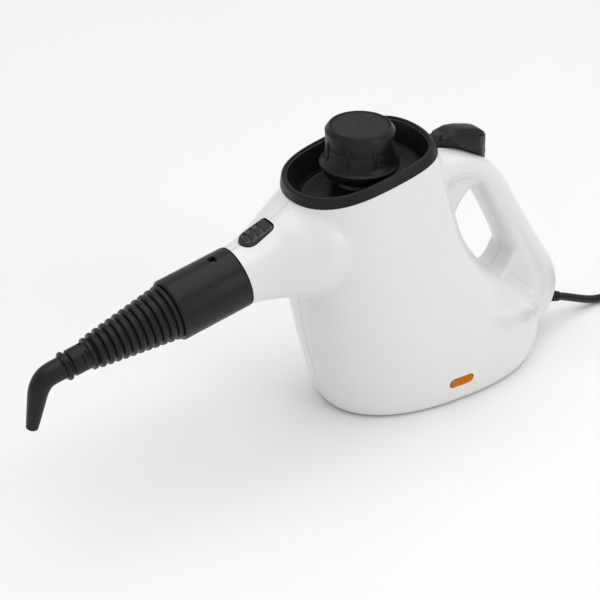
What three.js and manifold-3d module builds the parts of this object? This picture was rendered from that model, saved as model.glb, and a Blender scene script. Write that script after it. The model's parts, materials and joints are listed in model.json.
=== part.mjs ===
// Hand-held pressurised steam cleaner with a long ribbed nozzle and a bent detail tip.
// Frame: +X forward to the nozzle, +Y to the user's left, +Z up, millimetres.
// The origin is the centre of the base plate's flat underside, on which the cleaner stands.
import * as THREE from 'three';
import { mergeVertices } from 'three/addons/utils/BufferGeometryUtils.js';
import Module from 'manifold-3d';

const wasm = await Module();
wasm.setup();

const { PI, cos, sin, tan, abs, sign, atan2 } = Math;
const RAD = PI / 180;

// ---------- Clearances ----------
const GAP = 0.3; // between pieces that touch
const SLIDE = 0.5; // round a piece that slides or turns
const CUT = 4; // how far a cutting tool runs past the face it opens
const FINEST = 0.04; // edges of the housing shorter than this are merged away

// ---------- Housing ----------
const WALL = 2.6;
const SEAM = 0.15; // half of the gap between the two halves
const RING = { body: 26, neck: 18, handle: 14 }; // corners of the housing's sections
const FOOT_LIFT = 0.8; // the housing's lower edge above the surface
// Level sections of the body: its front, its rear and its half width at each height.
const BODY = [
  { z: FOOT_LIFT, front: 86, rear: -88, half: 50.5 },
  { z: 4, front: 91, rear: -94, half: 53.6 },
  { z: 14, front: 95.5, rear: -98.5, half: 55.2 },
  { z: 32, front: 101, rear: -99, half: 56.8 },
  { z: 54, front: 106.5, rear: -84, half: 57.8 },
  { z: 78, front: 111.5, rear: -53, half: 57.6 },
  { z: 98, front: 115.2, rear: -35, half: 56.8 },
  { z: 125, front: 118.8, rear: -18, half: 54.6 },
  { z: 155, front: 121.5, rear: -8, half: 50 },
  { z: 184, front: 123.6, rear: 2, half: 43.8 },
  { z: 222, front: 124, rear: 9.5, half: 41.6 },
];
const BODY_POWER = 2.3; // 2 is an ellipse, more is squarer
const HANDLE_POWER = 2.7;
const CASE_BOSS_Y = 60; // how far out the bars behind the case screws start

// ---------- Neck, whose end faces forward and down along the nozzle's axis ----------
const NECK_END = { x: 167.1, z: 137.3 };
const NOZZLE_TILT = 11.1 * RAD;
const NECK_R = 22.2;
const NECK = [
  { x: 64, z: 150, up: 36, side: 40, tilt: 0 },
  { x: 106, z: 150, up: 41, side: 42, tilt: 0 },
  { x: 124, z: 145.5, up: 35.5, side: 37, tilt: 4 * RAD },
  { x: 140, z: 141.6, up: 29, side: 30, tilt: 8 * RAD },
  { x: 154, z: 138.8, up: 24.6, side: 25, tilt: NOZZLE_TILT },
  { x: NECK_END.x, z: NECK_END.z, up: NECK_R, side: NECK_R, tilt: NOZZLE_TILT },
];

// ---------- Handle: a loop from behind the tray down to the lower body ----------
const HANDLE = [
  { x: 34, z: 176, up: 20, side: 30 },
  { x: 10, z: 179, up: 16.5, side: 26 },
  { x: -10, z: 177.5, up: 13, side: 22 },
  { x: -27, z: 172.3, up: 10.2, side: 19.6 },
  { x: -41, z: 163.5, up: 10.4, side: 18.6 },
  { x: -52.5, z: 148, up: 11.4, side: 18 },
  { x: -72.5, z: 113.5, up: 12.2, side: 17.6 },
  { x: -87.5, z: 85, up: 14.6, side: 18 },
  { x: -98, z: 62, up: 18.6, side: 19.5 },
  { x: -99, z: 45, up: 22.5, side: 22 },
  { x: -87, z: 31, up: 22, side: 26 },
  { x: -66, z: 25, up: 19, side: 29 },
];

// Webs that fill two corners of the hand hole: the edge that shows, and what lies behind it.
const WEBS = [
  {
    half: 16, lean: [0.77, 0.64],
    edge: [[-36, 162], [-26, 156.5], [-19, 150], [-12.5, 139], [-10, 125]], behind: [[6, 125], [6, 170], [-20, 172]],
  },
  {
    half: 15, lean: [-0.7, -0.72],
    edge: [[-74, 92], [-70.5, 84], [-65.5, 76], [-58.5, 69.5], [-50, 66]], behind: [[-60, 48], [-90, 52], [-86, 80]],
  },
];

// ---------- Tray in the top, tilted with its rear end higher ----------
const TRAY = {
  x: 63.4, rimZ: 202.9, tilt: 10.8 * RAD, long: 55.4, wide: 47, pinch: 7.5, skew: 1.4, bow: 3.8,
};
const TRAY_BAND = 7.4; // height of the band round the rim
const TRAY_FLARE = 2.2; // how much wider the band is at its foot
const TRAY_RIM = 3.2;
const TRAY_DEPTH = 19;
const TRAY_SPLAY = 12; // how much smaller the floor is than the rim
const TRAY_FLOOR = 2.4;
const TRAY_CORNERS = 36;
const SEAL = 1.4; // thickness of the ring that seals the tray to the filler
const SEAL_SIDES = 20;

// ---------- Filler, boiler and safety cap, on one upright axis ----------
const AXIS_X = 64;
const BOILER_R = 35;
const BOILER = { wall: 3, r: BOILER_R, flangeR: BOILER_R + 7, bottom: 46, jointZ: 85, flange: 4.2, top: 118 };
const GASKET = 1.2;
const BOLTS = 3;
const NECK_BORE = 14.4;
const FILLER_R = 16.6;
const FILLER_TOP = 187;
const CAP = {
  topZ: 226.8, bevel: 3.5, bevelR: 22, r: 24.8, waistR: 24.2, skirtR: 28.6, skirtZ: 196.9, roof: 3.5,
};
const CAP_DISC = { r: 20.4, deep: 1.8, recess: 0.1 };
const CAP_RIBS = { count: 8, wide: 2, low: 200.4, high: 217.5, r: 25.7, turn: 0.8 };
const TIER = { r: 25.4, z: 190, thick: 5.6 };
const STEM = { r: 13, bottom: 170, bore: 3 };
const HUB = { r: 10, top: 210, bore: 6, seat: 198 };
const THREAD = { pitch: 3.6, depth: 0.8, turns: 4 };

// ---------- Nozzle, measured along its own axis from the end of the neck ----------
const SPOUT = { r: 18.4, bore: 9, length: 20, flange: 3, flangeR: 19.2 };
const COLLAR = { r: 22.5, length: 54.9, socket: 25, wall: 3.5, bulkhead: 4 };
const LATCH = { half: 4.6, low: 15, high: 17.5, tip: 18.5, nibHalf: 2.8 };
const LATCH_DROP = 3.6; // room below the latch for the button's travel
const LATCH_WINDOW = { s: 14.8, long: 5, wide: 7 };
const CONE = { ribs: 11, pitch: 5.6, ridge: 3.6, rearR: 20.6, frontR: 12.2, depth: 2.8 };
const TIP_SOCKET = { r: 9.6, length: 13.5, ringR: 11.6, ring: 3.2 };
const CONE_FROM = COLLAR.length + SLIDE;
const CONE_TO = CONE_FROM + CONE.ribs * CONE.pitch;
const SOCKET_END = CONE_TO + TIP_SOCKET.ring + TIP_SOCKET.length;
const STEAM_TUBE = { r: 4.1, bore: 2.2, rear: 12 };
const TIP = { ringR: 10.4, ring: 3.6, bore: 1.8 };
// The bent tip's centre line, along the nozzle and up from its axis, with its radius.
const TIP_PATH = [
  { s: 3, up: 0, r: 8 }, { s: 12, up: 0, r: 7.9 },
  { s: 17.5, up: -1.2, r: 7.7 }, { s: 21.8, up: -4.4, r: 7.4 },
  { s: 25.4, up: -9.6, r: 7 }, { s: 29.8, up: -19, r: 6 }, { s: 36.6, up: -33.6, r: 4.3 },
];

// ---------- Trigger and valve ----------
const PIVOT = { x: -41.5, z: 169.4 };
const PIN_R = 1.5;
const TRIGGER_HALF = 11;
const TRIGGER_ROOM = 0.8; // between the pressed trigger and the handle
const CORE_HALF = 6.2;
const TRIGGER_TRAVEL = 4.5 * RAD;
const PIN_HALF = 13;
// Side outline of the trigger's cap, from its front over the top to its heel.
const TRIGGER_TOP = [[-4, 199.6], [-9, 202.4], [-14, 203], [-27, 201.4], [-36, 198.4], [-42, 195.2], [-45, 192]];
const TRIGGER_HEEL = [-47, 173];
const TRIGGER_UNDER = [-44, -37, -31, -22, -13, -5];
const TRIGGER_PLAN = { rearX: -30, rearLong: 17.4, frontX: -11, tipX: -3.5, tipHalf: 6.4 };
const TRIGGER_CHAMFER = { from: 5.5, drop: 5.6 }; // slope of its top towards both sides
const VALVE = { x: 6, half: 7, bottom: 138, top: 166, bore: 4.4, floor: 2.5, port: 1.8, outlet: 158 };
const PLUNGER = { stemR: 2, headR: 3.9, headZ: 150, head: 4, padR: 3.2, pad: 1.6 };
const PLUNGER_TOP = 187.6;

// ---------- Button ----------
const BUTTON = { x: 151.2, z: 166.1, tilt: 21.7 * RAD, long: 26, wide: 16, deep: 8, proud: 1.6, corner: 4.2 };
const SHELF = { x0: 139, x1: 157, z: 146, thick: 2.2 };

// ---------- Base, screws and feet ----------
const BASE_THICK = 3.2;
const SCREW = { r: 1.5, headR: 3, head: 1.6, length: 14 };
const RECESS = 3; // depth of a case screw's head below the housing's side
const CASE_SCREW_TIP = 9;
const BOSS_R = 4.6;
const BASE_SCREWS = [[70, 24], [70, -24], [-58, 29], [-58, -29]];
const CASE_SCREWS = [[136, 122], [-66, 128], [-98, 46]];

// ---------- Indicator lens ----------
const LENS = { x: 5.5, z: 21, long: 21.5, high: 7.6 };

// ---------- Cord ----------
const CORD_R = 3.3;
const CORD_EXIT = { x: -112.2, z: 28.2 };
const RELIEF = { rearR: 5.6, frontR: 3.9, length: 25, neckR: 4.6, flangeR: 6.8, wallIn: 7, drop: 20 * RAD };
// The cord's route from the strain relief to the coil, chosen by hand.
const CORD_POINTS = [
  [-136, 0, 19.5], [-142, 0.1, 17.2], [-150, 0.2, 13.7], [-158, 0.4, 10.2],
  [-165, 0.7, 7.4], [-172, 1.1, 5.2],
  [-180, 1.6, 3.9], [-189, 2.3, 3.45], [-198, 3.1, 3.4], [-207, 3.9, 3.4], [-216, 4.7, 3.7], [-224, 5.2, 4.2],
  [-231, 5.4, 4.6], [-237, 5.4, 4.6],
];
const COIL = { x: -237, y: 58.5, r: 36.3, across: 4, up: 2, floor: 1.3 };
const PLUG = { faceR: 18.6, face: 12, tailR: 6, length: 44, pinR: 2.4, pin: 19, pinHalf: 9.5, tail: 26 };
const COIL_WIDE = COIL.across * CORD_R * 2;

// ---------- Solids ----------

// Turns a closed three.js geometry into a solid, dropping the slivers at a lathe's axis.
function toSolid(geometry) {
  const bare = geometry.clone();
  for (const name of Object.keys(bare.attributes)) {
    if (name !== 'position') bare.deleteAttribute(name);
  }
  const merged = mergeVertices(bare, 1e-4);
  const index = merged.index.array;
  const kept = [];
  for (let i = 0; i < index.length; i += 3) {
    const [a, b, c] = [index[i], index[i + 1], index[i + 2]];
    if (a !== b && b !== c && c !== a) kept.push(a, b, c);
  }
  const vertProperties = merged.attributes.position.array;
  return new wasm.Manifold(new wasm.Mesh({ numProp: 3, vertProperties, triVerts: new Uint32Array(kept) }));
}

function toGeometry(solid) {
  const mesh = solid.getMesh();
  const geometry = new THREE.BufferGeometry();
  geometry.setAttribute('position', new THREE.BufferAttribute(mesh.vertProperties, 3));
  geometry.setIndex(new THREE.BufferAttribute(mesh.triVerts, 1));
  return geometry;
}

function joined(solids) {
  return solids.reduce((sum, piece) => sum.add(piece));
}

function cutBy(solid, tools) {
  return tools.reduce((rest, tool) => rest.subtract(tool), solid);
}

// Joins rings of equal count into a closed body with flat ends.
function loft(rings) {
  const count = rings[0].length;
  const points = rings.flat();
  const index = [];
  for (let r = 0; r + 1 < rings.length; r++) {
    for (let i = 0; i < count; i++) {
      const a = r * count + i;
      const b = r * count + (i + 1) % count;
      index.push(a, b, b + count, a, b + count, a + count);
    }
  }
  for (const [ring, first] of [[0, 0], [rings.length - 1, (rings.length - 1) * count]]) {
    const centre = new THREE.Vector3();
    for (const point of rings[ring]) centre.addScaledVector(point, 1 / count);
    const middle = points.push(centre) - 1;
    for (let i = 0; i < count; i++) {
      const a = first + i;
      const b = first + (i + 1) % count;
      if (ring === 0) index.push(middle, b, a);
      else index.push(middle, a, b);
    }
  }
  const geometry = new THREE.BufferGeometry().setFromPoints(points);
  geometry.setIndex(index);
  return facingOut(geometry);
}

// Reverses a closed geometry whose faces point inwards.
function facingOut(geometry) {
  const at = geometry.attributes.position;
  const index = geometry.index.array;
  const [a, b, c] = [new THREE.Vector3(), new THREE.Vector3(), new THREE.Vector3()];
  let volume = 0;
  for (let i = 0; i < index.length; i += 3) {
    a.fromBufferAttribute(at, index[i]);
    b.fromBufferAttribute(at, index[i + 1]);
    c.fromBufferAttribute(at, index[i + 2]);
    volume += a.dot(b.cross(c));
  }
  if (volume < 0) geometry.setIndex(Array.from(index).reverse());
  return geometry;
}

function power(value, exponent) {
  return sign(value) * abs(value) ** exponent;
}

// Corners of a rounded oval with half sizes a and b.
function oval(a, b, squareness, count) {
  const corners = [];
  for (let i = 0; i < count; i++) {
    const t = 2 * PI * (i + 0.5) / count;
    corners.push([a * power(cos(t), 2 / squareness), b * power(sin(t), 2 / squareness)]);
  }
  return corners;
}

// A round piece about the upright axis through x, from a profile of [radius, height] pairs.
function turned(profile, x = 0, y = 0, sides = 24) {
  const points = profile.map(([r, z]) => new THREE.Vector2(r, z));
  return facingOut(new THREE.LatheGeometry(points, sides)).rotateX(PI / 2).translate(x, y, 0);
}

function ringProfile(inner, outer, low, high) {
  return [[inner, low], [outer, low], [outer, high], [inner, high], [inner, low]];
}

// A solid or hollow round bar between two heights.
function tube(z0, z1, outer, inner = 0, x = 0, y = 0, sides = 24) {
  const profile = inner > 0
    ? ringProfile(inner, outer, z0, z1)
    : [[0, z0], [outer, z0], [outer, z1], [0, z1]];
  return turned(profile, x, y, sides);
}

function box(x0, x1, y0, y1, z0, z1) {
  return new THREE.BoxGeometry(x1 - x0, y1 - y0, z1 - z0)
    .translate((x0 + x1) / 2, (y0 + y1) / 2, (z0 + z1) / 2);
}

// A flat outline in X and Z, pulled out to both sides of the middle plane.
function plate(outline, half) {
  const shape = new THREE.Shape(outline.map(([x, z]) => new THREE.Vector2(x, z)));
  return new THREE.ExtrudeGeometry(shape, { depth: 2 * half, bevelEnabled: false })
    .translate(0, 0, -half).rotateX(PI / 2);
}

function circle(radius, sides) {
  const points = [];
  for (let i = 0; i < sides; i++) {
    points.push(new THREE.Vector2(radius * cos(2 * PI * i / sides), radius * sin(2 * PI * i / sides)));
  }
  return new THREE.Shape(points);
}

// A round bar along a smooth curve through the given points.
function bentBar(points, radius, sides, steps) {
  const curve = new THREE.CatmullRomCurve3(points.map((p) => new THREE.Vector3(...p)), false, 'centripetal');
  return new THREE.ExtrudeGeometry(circle(radius, sides), { steps, extrudePath: curve, bevelEnabled: false });
}

// A coil spring standing on z0, wound about an upright axis.
function spring(x, z0, z1, radius, wire, turns) {
  const [SIDES, PER_TURN] = [3, 6];
  const points = [];
  const low = z0 + wire;
  const high = z1 - wire;
  for (let i = 0; i <= turns * PER_TURN; i++) {
    const t = i / PER_TURN;
    points.push([
      x + radius * cos(2 * PI * t), radius * sin(2 * PI * t), low + (high - low) * t / turns,
    ]);
  }
  return bentBar(points, wire, SIDES, turns * PER_TURN);
}

// ---------- Frames and materials ----------
const cleaner = new THREE.Group();
cleaner.name = 'steam_cleaner';

const nozzleFrame = new THREE.Group();
nozzleFrame.position.set(NECK_END.x, 0, NECK_END.z);
nozzleFrame.rotation.y = NOZZLE_TILT;
nozzleFrame.updateMatrix();
cleaner.add(nozzleFrame);

const trayFrame = new THREE.Group();
trayFrame.position.set(TRAY.x, 0, TRAY.rimZ);
trayFrame.rotation.y = TRAY.tilt;
trayFrame.updateMatrix();
cleaner.add(trayFrame);

const buttonFrame = new THREE.Group();
buttonFrame.position.set(BUTTON.x, 0, BUTTON.z);
buttonFrame.rotation.y = BUTTON.tilt;
buttonFrame.updateMatrix();
cleaner.add(buttonFrame);

function plastic(colour, roughness) {
  return new THREE.MeshStandardMaterial({ color: colour, roughness, metalness: 0 });
}

function metal(colour, roughness) {
  return new THREE.MeshStandardMaterial({ color: colour, roughness, metalness: 1 });
}

const white = plastic(0xf2f2f0, 0.18);
const satinBlack = plastic(0x1c1c1d, 0.42);
const glossBlack = plastic(0x0d0d0e, 0.15);
const greyPlastic = plastic(0x8c8e90, 0.45);
const rubber = plastic(0x2a2826, 0.85);
const silicone = plastic(0xb5533c, 0.6);
const amber = plastic(0xe07f12, 0.2);
const lampGlass = plastic(0xf0e4cc, 0.1);
const castAluminium = metal(0xb4b7ba, 0.5);
const steel = metal(0xa9adb1, 0.35);
const brass = metal(0xc2a04e, 0.35);
const copper = metal(0xbf7a50, 0.35);

function addNode(name, shape, material, parent = cleaner) {
  const geometry = shape.isBufferGeometry ? shape : toGeometry(shape);
  const mesh = new THREE.Mesh(geometry, material);
  mesh.name = name;
  parent.add(mesh);
}

// A shape drawn in a tilted frame, as a solid in the cleaner's own frame.
function placed(geometry, frame) {
  return toSolid(geometry.clone().applyMatrix4(frame.matrix));
}

// Turns an upright round piece so that its axis runs forward, along local X.
function forward(geometry) {
  return geometry.rotateY(PI / 2);
}

// ---------- Housing: two halves of one thin shell ----------

// Level rings of the body, set in from its surface by inset.
function bodyLoft(inset) {
  const stations = BODY.map((s) => ({ ...s }));
  if (inset > 0) stations[0].z -= CUT;
  const rings = stations.map(({ z, front, rear, half }) => {
    const long = (front - rear) / 2 - inset;
    const corners = oval(long, half - inset, BODY_POWER, RING.body);
    return corners.map(([x, y]) => new THREE.Vector3((front + rear) / 2 + x, y, z));
  });
  return toSolid(loft(rings));
}

// A ring across a path in X and Z: up is its half thickness, side its half width, tilt its lean.
function crossRing({ x, z, up, side, tilt }, inset, count, squareness = 2) {
  const corners = oval(side - inset, up - inset, squareness, count);
  return corners.map(([y, n]) => new THREE.Vector3(x + n * sin(tilt), y, z + n * cos(tilt)));
}

function neckLoft(inset) {
  const rings = NECK.map((station) => crossRing(station, inset, RING.neck));
  if (inset > 0) {
    const end = NECK.at(-1);
    const past = { ...end, x: end.x + CUT * cos(NOZZLE_TILT), z: end.z - CUT * sin(NOZZLE_TILT) };
    rings.push(crossRing(past, inset, RING.neck));
  }
  return toSolid(loft(rings));
}

// Each handle section stands square to the path through its neighbours.
function handleLoft(inset) {
  const rings = HANDLE.map((station, i) => {
    const before = HANDLE[Math.max(i - 1, 0)];
    const after = HANDLE[Math.min(i + 1, HANDLE.length - 1)];
    const tilt = atan2(before.z - after.z, after.x - before.x);
    return crossRing({ ...station, tilt }, inset, RING.handle, HANDLE_POWER);
  });
  return toSolid(loft(rings));
}

// Everything above the tray's seat.
function aboveTray() {
  const reach = 2 * TRAY.long;
  return placed(box(-reach, reach, -reach, reach, -TRAY_BAND - GAP, reach), trayFrame);
}

function webPlates(inset) {
  return WEBS.map(({ half, lean, edge, behind }) => {
    const drawnIn = edge.map(([x, z]) => [x + lean[0] * inset, z + lean[1] * inset]);
    return toSolid(plate([...drawnIn, ...behind], half - inset));
  });
}

// The housing's skin, drawn in by a distance.
function housingSkin(inset) {
  return joined([bodyLoft(inset), neckLoft(inset), handleLoft(inset), ...webPlates(inset)]);
}

// The slot behind the tray that the trigger's core works in.
function triggerSlot() {
  const half = CORE_HALF + SLIDE;
  const outline = [[-50.4, 165.6], [-50.4, 190], [13.4, 222], [13.4, 191], [-22, 172.5], [-46, 165.6]];
  return toSolid(plate(outline, half));
}

function buttonOutline(grow) {
  const long = BUTTON.long / 2 + grow;
  const half = BUTTON.wide / 2 + grow;
  const { corner } = BUTTON;
  const shape = new THREE.Shape();
  shape.absarc(long - half, 0, half, -PI / 2, PI / 2);
  shape.absarc(corner - long, half - corner, corner, PI / 2, PI);
  shape.absarc(corner - long, corner - half, corner, PI, 3 * PI / 2);
  return shape;
}

function buttonBlock(grow, low, high) {
  const block = new THREE.ExtrudeGeometry(buttonOutline(grow), {
    depth: high - low, bevelEnabled: false, curveSegments: 6,
  });
  return block.translate(0, 0, low);
}

// A slot with round ends, long in X, through the left wall.
function lensBlock(grow, y0, y1) {
  const round = LENS.high / 2 + grow;
  const half = LENS.long / 2 - LENS.high / 2;
  const shape = new THREE.Shape();
  shape.absarc(half, 0, round, -PI / 2, PI / 2);
  shape.absarc(-half, 0, round, PI / 2, 3 * PI / 2);
  return new THREE.ExtrudeGeometry(shape, { depth: y1 - y0, bevelEnabled: false, curveSegments: 6 })
    .rotateX(PI / 2).translate(LENS.x, y1, LENS.z);
}

function screwBosses(outer) {
  const posts = BASE_SCREWS.map(([x, y]) => {
    const post = tube(BASE_THICK + GAP, SCREW.length + WALL, BOSS_R, 0, x, y, 14);
    const web = box(x - 1, x + 1, Math.min(y, 1.7 * y), Math.max(y, 1.7 * y), BASE_THICK + GAP, SCREW.length);
    return toSolid(post).add(toSolid(web)).intersect(outer);
  });
  const caseBosses = CASE_SCREWS.map(([x, z]) => {
    const bar = tube(-CASE_BOSS_Y, CASE_BOSS_Y, BOSS_R, 0, 0, 0, 12).rotateX(PI / 2).translate(x, 0, z);
    return toSolid(bar).intersect(outer);
  });
  return [...posts, ...caseBosses];
}

// How far out the housing's right side stands at a case screw.
function caseScrewReach(x, z, outer) {
  const probe = toSolid(tube(-80, 0, 1, 0, 0, 0, 8).rotateX(PI / 2).translate(x, -80, z));
  const held = probe.intersect(outer).getMesh().vertProperties;
  let side = 0;
  for (let i = 1; i < held.length; i += 3) side = Math.min(side, held[i]);
  return side;
}

const outer = housingSkin(0);

function halfSpace(side) {
  const reach = 500;
  const block = side > 0
    ? box(-reach, reach, SEAM, reach, -reach, reach)
    : box(-reach, reach, -reach, -SEAM, -reach, reach);
  return toSolid(block);
}

// Bosses for the trigger's pin, either side of its core.
function pinBosses() {
  const reach = 40;
  return [-1, 1].map((side) => {
    const near = CORE_HALF + SLIDE;
    const bar = tube(near, reach, 3.1, 0, 0, 0, 14).rotateX(-side * PI / 2).translate(PIVOT.x, 0, PIVOT.z);
    return toSolid(bar).intersect(outer);
  });
}

// The shelf across the neck that carries the button's spring.
function springShelf() {
  const reach = 40;
  return toSolid(box(SHELF.x0, SHELF.x1, -reach, reach, SHELF.z, SHELF.z + SHELF.thick)).intersect(outer);
}

function acrossY(radius, x, z, y0, y1, sides = 14) {
  return tube(-y1, -y0, radius, 0, 0, 0, sides).rotateX(PI / 2).translate(x, 0, z);
}

function housingCuts() {
  const cuts = [
    aboveTray(),
    triggerSlot(),
    placed(buttonBlock(SLIDE, -BUTTON.deep, BUTTON.deep), buttonFrame),
    toSolid(lensBlock(GAP, 2 * LENS.long, 3 * LENS.long)),
    toSolid(acrossY(PIN_R + GAP, PIVOT.x, PIVOT.z, -PIN_HALF - GAP, PIN_HALF + GAP)),
    toSolid(reliefBore()),
  ];
  for (const [x, y] of BASE_SCREWS) {
    cuts.push(toSolid(tube(0, SCREW.length + GAP, SCREW.r + GAP, 0, x, y, 12)));
  }
  for (const [x, z] of CASE_SCREWS) {
    const side = caseScrewReach(x, z, outer);
    cuts.push(toSolid(acrossY(SCREW.r + GAP, x, z, side, CASE_SCREW_TIP + GAP, 12)));
    cuts.push(toSolid(acrossY(SCREW.headR + GAP, x, z, side - CUT, side + RECESS + SCREW.head, 14)));
  }
  return cuts;
}

// The round hole in the rear that the strain relief's neck sits in.
function reliefBore() {
  return tube(-CUT * 3, CUT * 5, RELIEF.neckR + GAP, 0, 0, 0, 16).rotateY(-PI / 2 - RELIEF.drop)
    .translate(CORD_EXIT.x, 0, CORD_EXIT.z);
}

function addHousing() {
  const shell = outer.subtract(housingSkin(WALL));
  const inside = [...screwBosses(outer), ...pinBosses(), springShelf()];
  const whole = cutBy(joined([shell, ...inside]), housingCuts()).simplify(FINEST);
  addNode('left_housing', whole.intersect(halfSpace(1)), white);
  addNode('right_housing', whole.intersect(halfSpace(-1)), white);
}

function addBase() {
  const { front, rear, half } = BODY[0];
  const long = (front - rear) / 2 - WALL - GAP;
  const corners = oval(long, half - WALL - GAP, BODY_POWER, RING.body);
  const middle = (front + rear) / 2;
  const ring = (z) => corners.map(([x, y]) => new THREE.Vector3(middle + x, y, z));
  const holes = BASE_SCREWS.flatMap(([x, y]) => [
    toSolid(tube(-CUT, BASE_THICK + CUT, SCREW.r + GAP, 0, x, y, 12)),
    toSolid(tube(-CUT, SCREW.head + GAP, SCREW.headR + GAP, 0, x, y, 14)),
  ]);
  addNode('base_plate', cutBy(toSolid(loft([ring(0), ring(BASE_THICK)])), holes), greyPlastic);
}

// A pan-head screw standing on its head, from the given height up.
function screwProfile(low, high) {
  return [[0, low], [SCREW.headR, low], [SCREW.headR, low + SCREW.head], [SCREW.r, low + SCREW.head],
    [SCREW.r, high], [0, high + SCREW.r / 2]];
}

function addScrews() {
  BASE_SCREWS.forEach(([x, y], i) => {
    addNode('base_screw_' + (i + 1), turned(screwProfile(0.1, SCREW.length - 1), x, y, 8), steel);
  });
  CASE_SCREWS.forEach(([x, z], i) => {
    const low = caseScrewReach(x, z, outer) + RECESS;
    const shape = turned(screwProfile(low, CASE_SCREW_TIP - 1), 0, 0, 8).rotateX(-PI / 2);
    addNode('case_screw_' + (i + 1), shape.translate(x, 0, z), steel);
  });
}

// ---------- Tray ----------

// The tray's outline, grown by a distance, at a height above its rim.
function trayRing(grow, height) {
  const ring = [];
  for (let i = 0; i < TRAY_CORNERS; i++) {
    const t = 2 * PI * i / TRAY_CORNERS;
    const across = TRAY.wide + grow + TRAY.skew * cos(t) + TRAY.pinch * cos(2 * t);
    const along = (TRAY.long + grow) * cos(t) + TRAY.bow * cos(2 * t);
    ring.push(new THREE.Vector3(along, across * sin(t), height));
  }
  return ring;
}

function addTray() {
  const bottom = TRAY_DEPTH + TRAY_FLOOR;
  const band = toSolid(loft([trayRing(0, 0), trayRing(TRAY_FLARE, -TRAY_BAND)]));
  const bowl = toSolid(loft([
    trayRing(-TRAY_RIM - GAP, 1 - TRAY_BAND), trayRing(-TRAY_SPLAY / 2, -0.72 * TRAY_DEPTH),
    trayRing(3 - TRAY_SPLAY, -bottom),
  ]));
  const cavity = toSolid(loft([
    trayRing(-TRAY_RIM, 1), trayRing(-0.55 * TRAY_SPLAY, -0.37 * TRAY_DEPTH),
    trayRing(-0.75 * TRAY_SPLAY, -0.74 * TRAY_DEPTH), trayRing(-TRAY_SPLAY, -TRAY_DEPTH),
  ]));
  const worldToTray = trayFrame.matrix.clone().invert();
  const hole = toSolid(tube(FILLER_TOP - 40, FILLER_TOP + 40, FILLER_R + SEAL + GAP, 0, AXIS_X)
    .applyMatrix4(worldToTray));
  addNode('top_tray', cutBy(band.add(bowl), [cavity, hole]), satinBlack, trayFrame);
}

// ---------- Boiler ----------

function addBoiler() {
  const { wall, r, flangeR, bottom, jointZ, flange, top } = BOILER;
  const rise = 10; // height of the curve at the cup's foot
  const lip = jointZ - GAP;
  addNode('boiler_lower', turned([
    [0, bottom], [r - 7, bottom], [r - 2, bottom + 3], [r, bottom + rise], [r, lip - flange],
    [flangeR, lip - flange],
    [flangeR, lip], [r - wall, lip], [r - wall, bottom + rise], [r - wall - 5, bottom + wall + 2],
    [0, bottom + wall],
  ], AXIS_X, 0, 22), castAluminium);
  const gasket = tube(jointZ, jointZ + GASKET, flangeR - 0.5, r - wall + 0.5, AXIS_X, 0, SEAL_SIDES);
  addNode('boiler_gasket', gasket, silicone);
  const foot = jointZ + GASKET + GAP;
  addNode('boiler_upper', turned([
    [r - wall, foot], [flangeR, foot], [flangeR, foot + flange], [r, foot + flange], [r, top - 18],
    [r - 8, top - 6], [FILLER_R + 3, top], [FILLER_R, top + 4], [FILLER_R, FILLER_TOP],
    [NECK_BORE, FILLER_TOP],
    [NECK_BORE, top - 2], [r - wall - 8, top - 9], [r - wall, top - 19], [r - wall, foot],
  ], AXIS_X, 0, 22), castAluminium);
}

function addBoilerBolts() {
  const { r, flangeR, jointZ, flange } = BOILER;
  const reach = (r + flangeR) / 2 + 0.2;
  const head = { r: 2.6, z: jointZ + GASKET + 2 * GAP + flange };
  for (let i = 0; i < BOLTS; i++) {
    const turn = (i + 0.5) * 2 * PI / BOLTS;
    const bolt = turned([[0, head.z], [head.r, head.z], [head.r, head.z + 3], [0, head.z + 3]],
      AXIS_X + reach * cos(turn), reach * sin(turn), 6);
    addNode('boiler_bolt_' + (i + 1), bolt, steel);
  }
}

// The ring under the boiler's flange, on three legs that stand on the base plate.
function addBracket() {
  const { r, flangeR, jointZ, flange } = BOILER;
  const top = jointZ - flange - 2 * GAP;
  const ring = toSolid(tube(top - 2, top, flangeR - 1, r + 0.6, AXIS_X, 0, 22));
  const legs = [110, 180, 250].map((angle) => {
    const reach = flangeR - 3;
    const leg = box(reach - 1, reach + 1, -5, 5, BASE_THICK + GAP, top - 1);
    const foot = box(reach - 7, reach + 1, -5, 5, BASE_THICK + GAP, BASE_THICK + GAP + 2);
    return toSolid(leg).add(toSolid(foot)).rotate([0, 0, angle]).translate([AXIS_X, 0, 0]);
  });
  addNode('boiler_bracket', joined([ring, ...legs]), steel);
}

function addHeater() {
  const [radius, thick, z] = [23, 3, BOILER.bottom - 3.6];
  const open = 0.35;
  const points = [];
  for (let i = 0; i <= 20; i++) {
    const t = PI + open + (2 * PI - 2 * open) * i / 20;
    points.push([AXIS_X + radius * cos(t), radius * sin(t), z]);
  }
  addNode('heater_element', bentBar(points, thick, 6, 20), steel);
}

// The thermostat and the thermal fuse, clipped to the boiler's side.
function addSensors() {
  const side = BOILER.r + GAP;
  const profile = [[0, side], [8, side], [8, side + 5], [5, side + 6.5], [0, side + 6.5]];
  const thermostat = forward(turned(profile, 0, 0, 16))
    .translate(0, 0, 64).rotateZ(145 * RAD).translate(AXIS_X, 0, 0);
  addNode('thermostat', thermostat, steel);
  const fuse = tube(58, 71, 2.2, 0, side + 2.3, 0, 10).rotateZ(-145 * RAD).translate(AXIS_X, 0, 0);
  addNode('thermal_fuse', fuse, greyPlastic);
}

// ---------- Safety cap ----------

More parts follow.
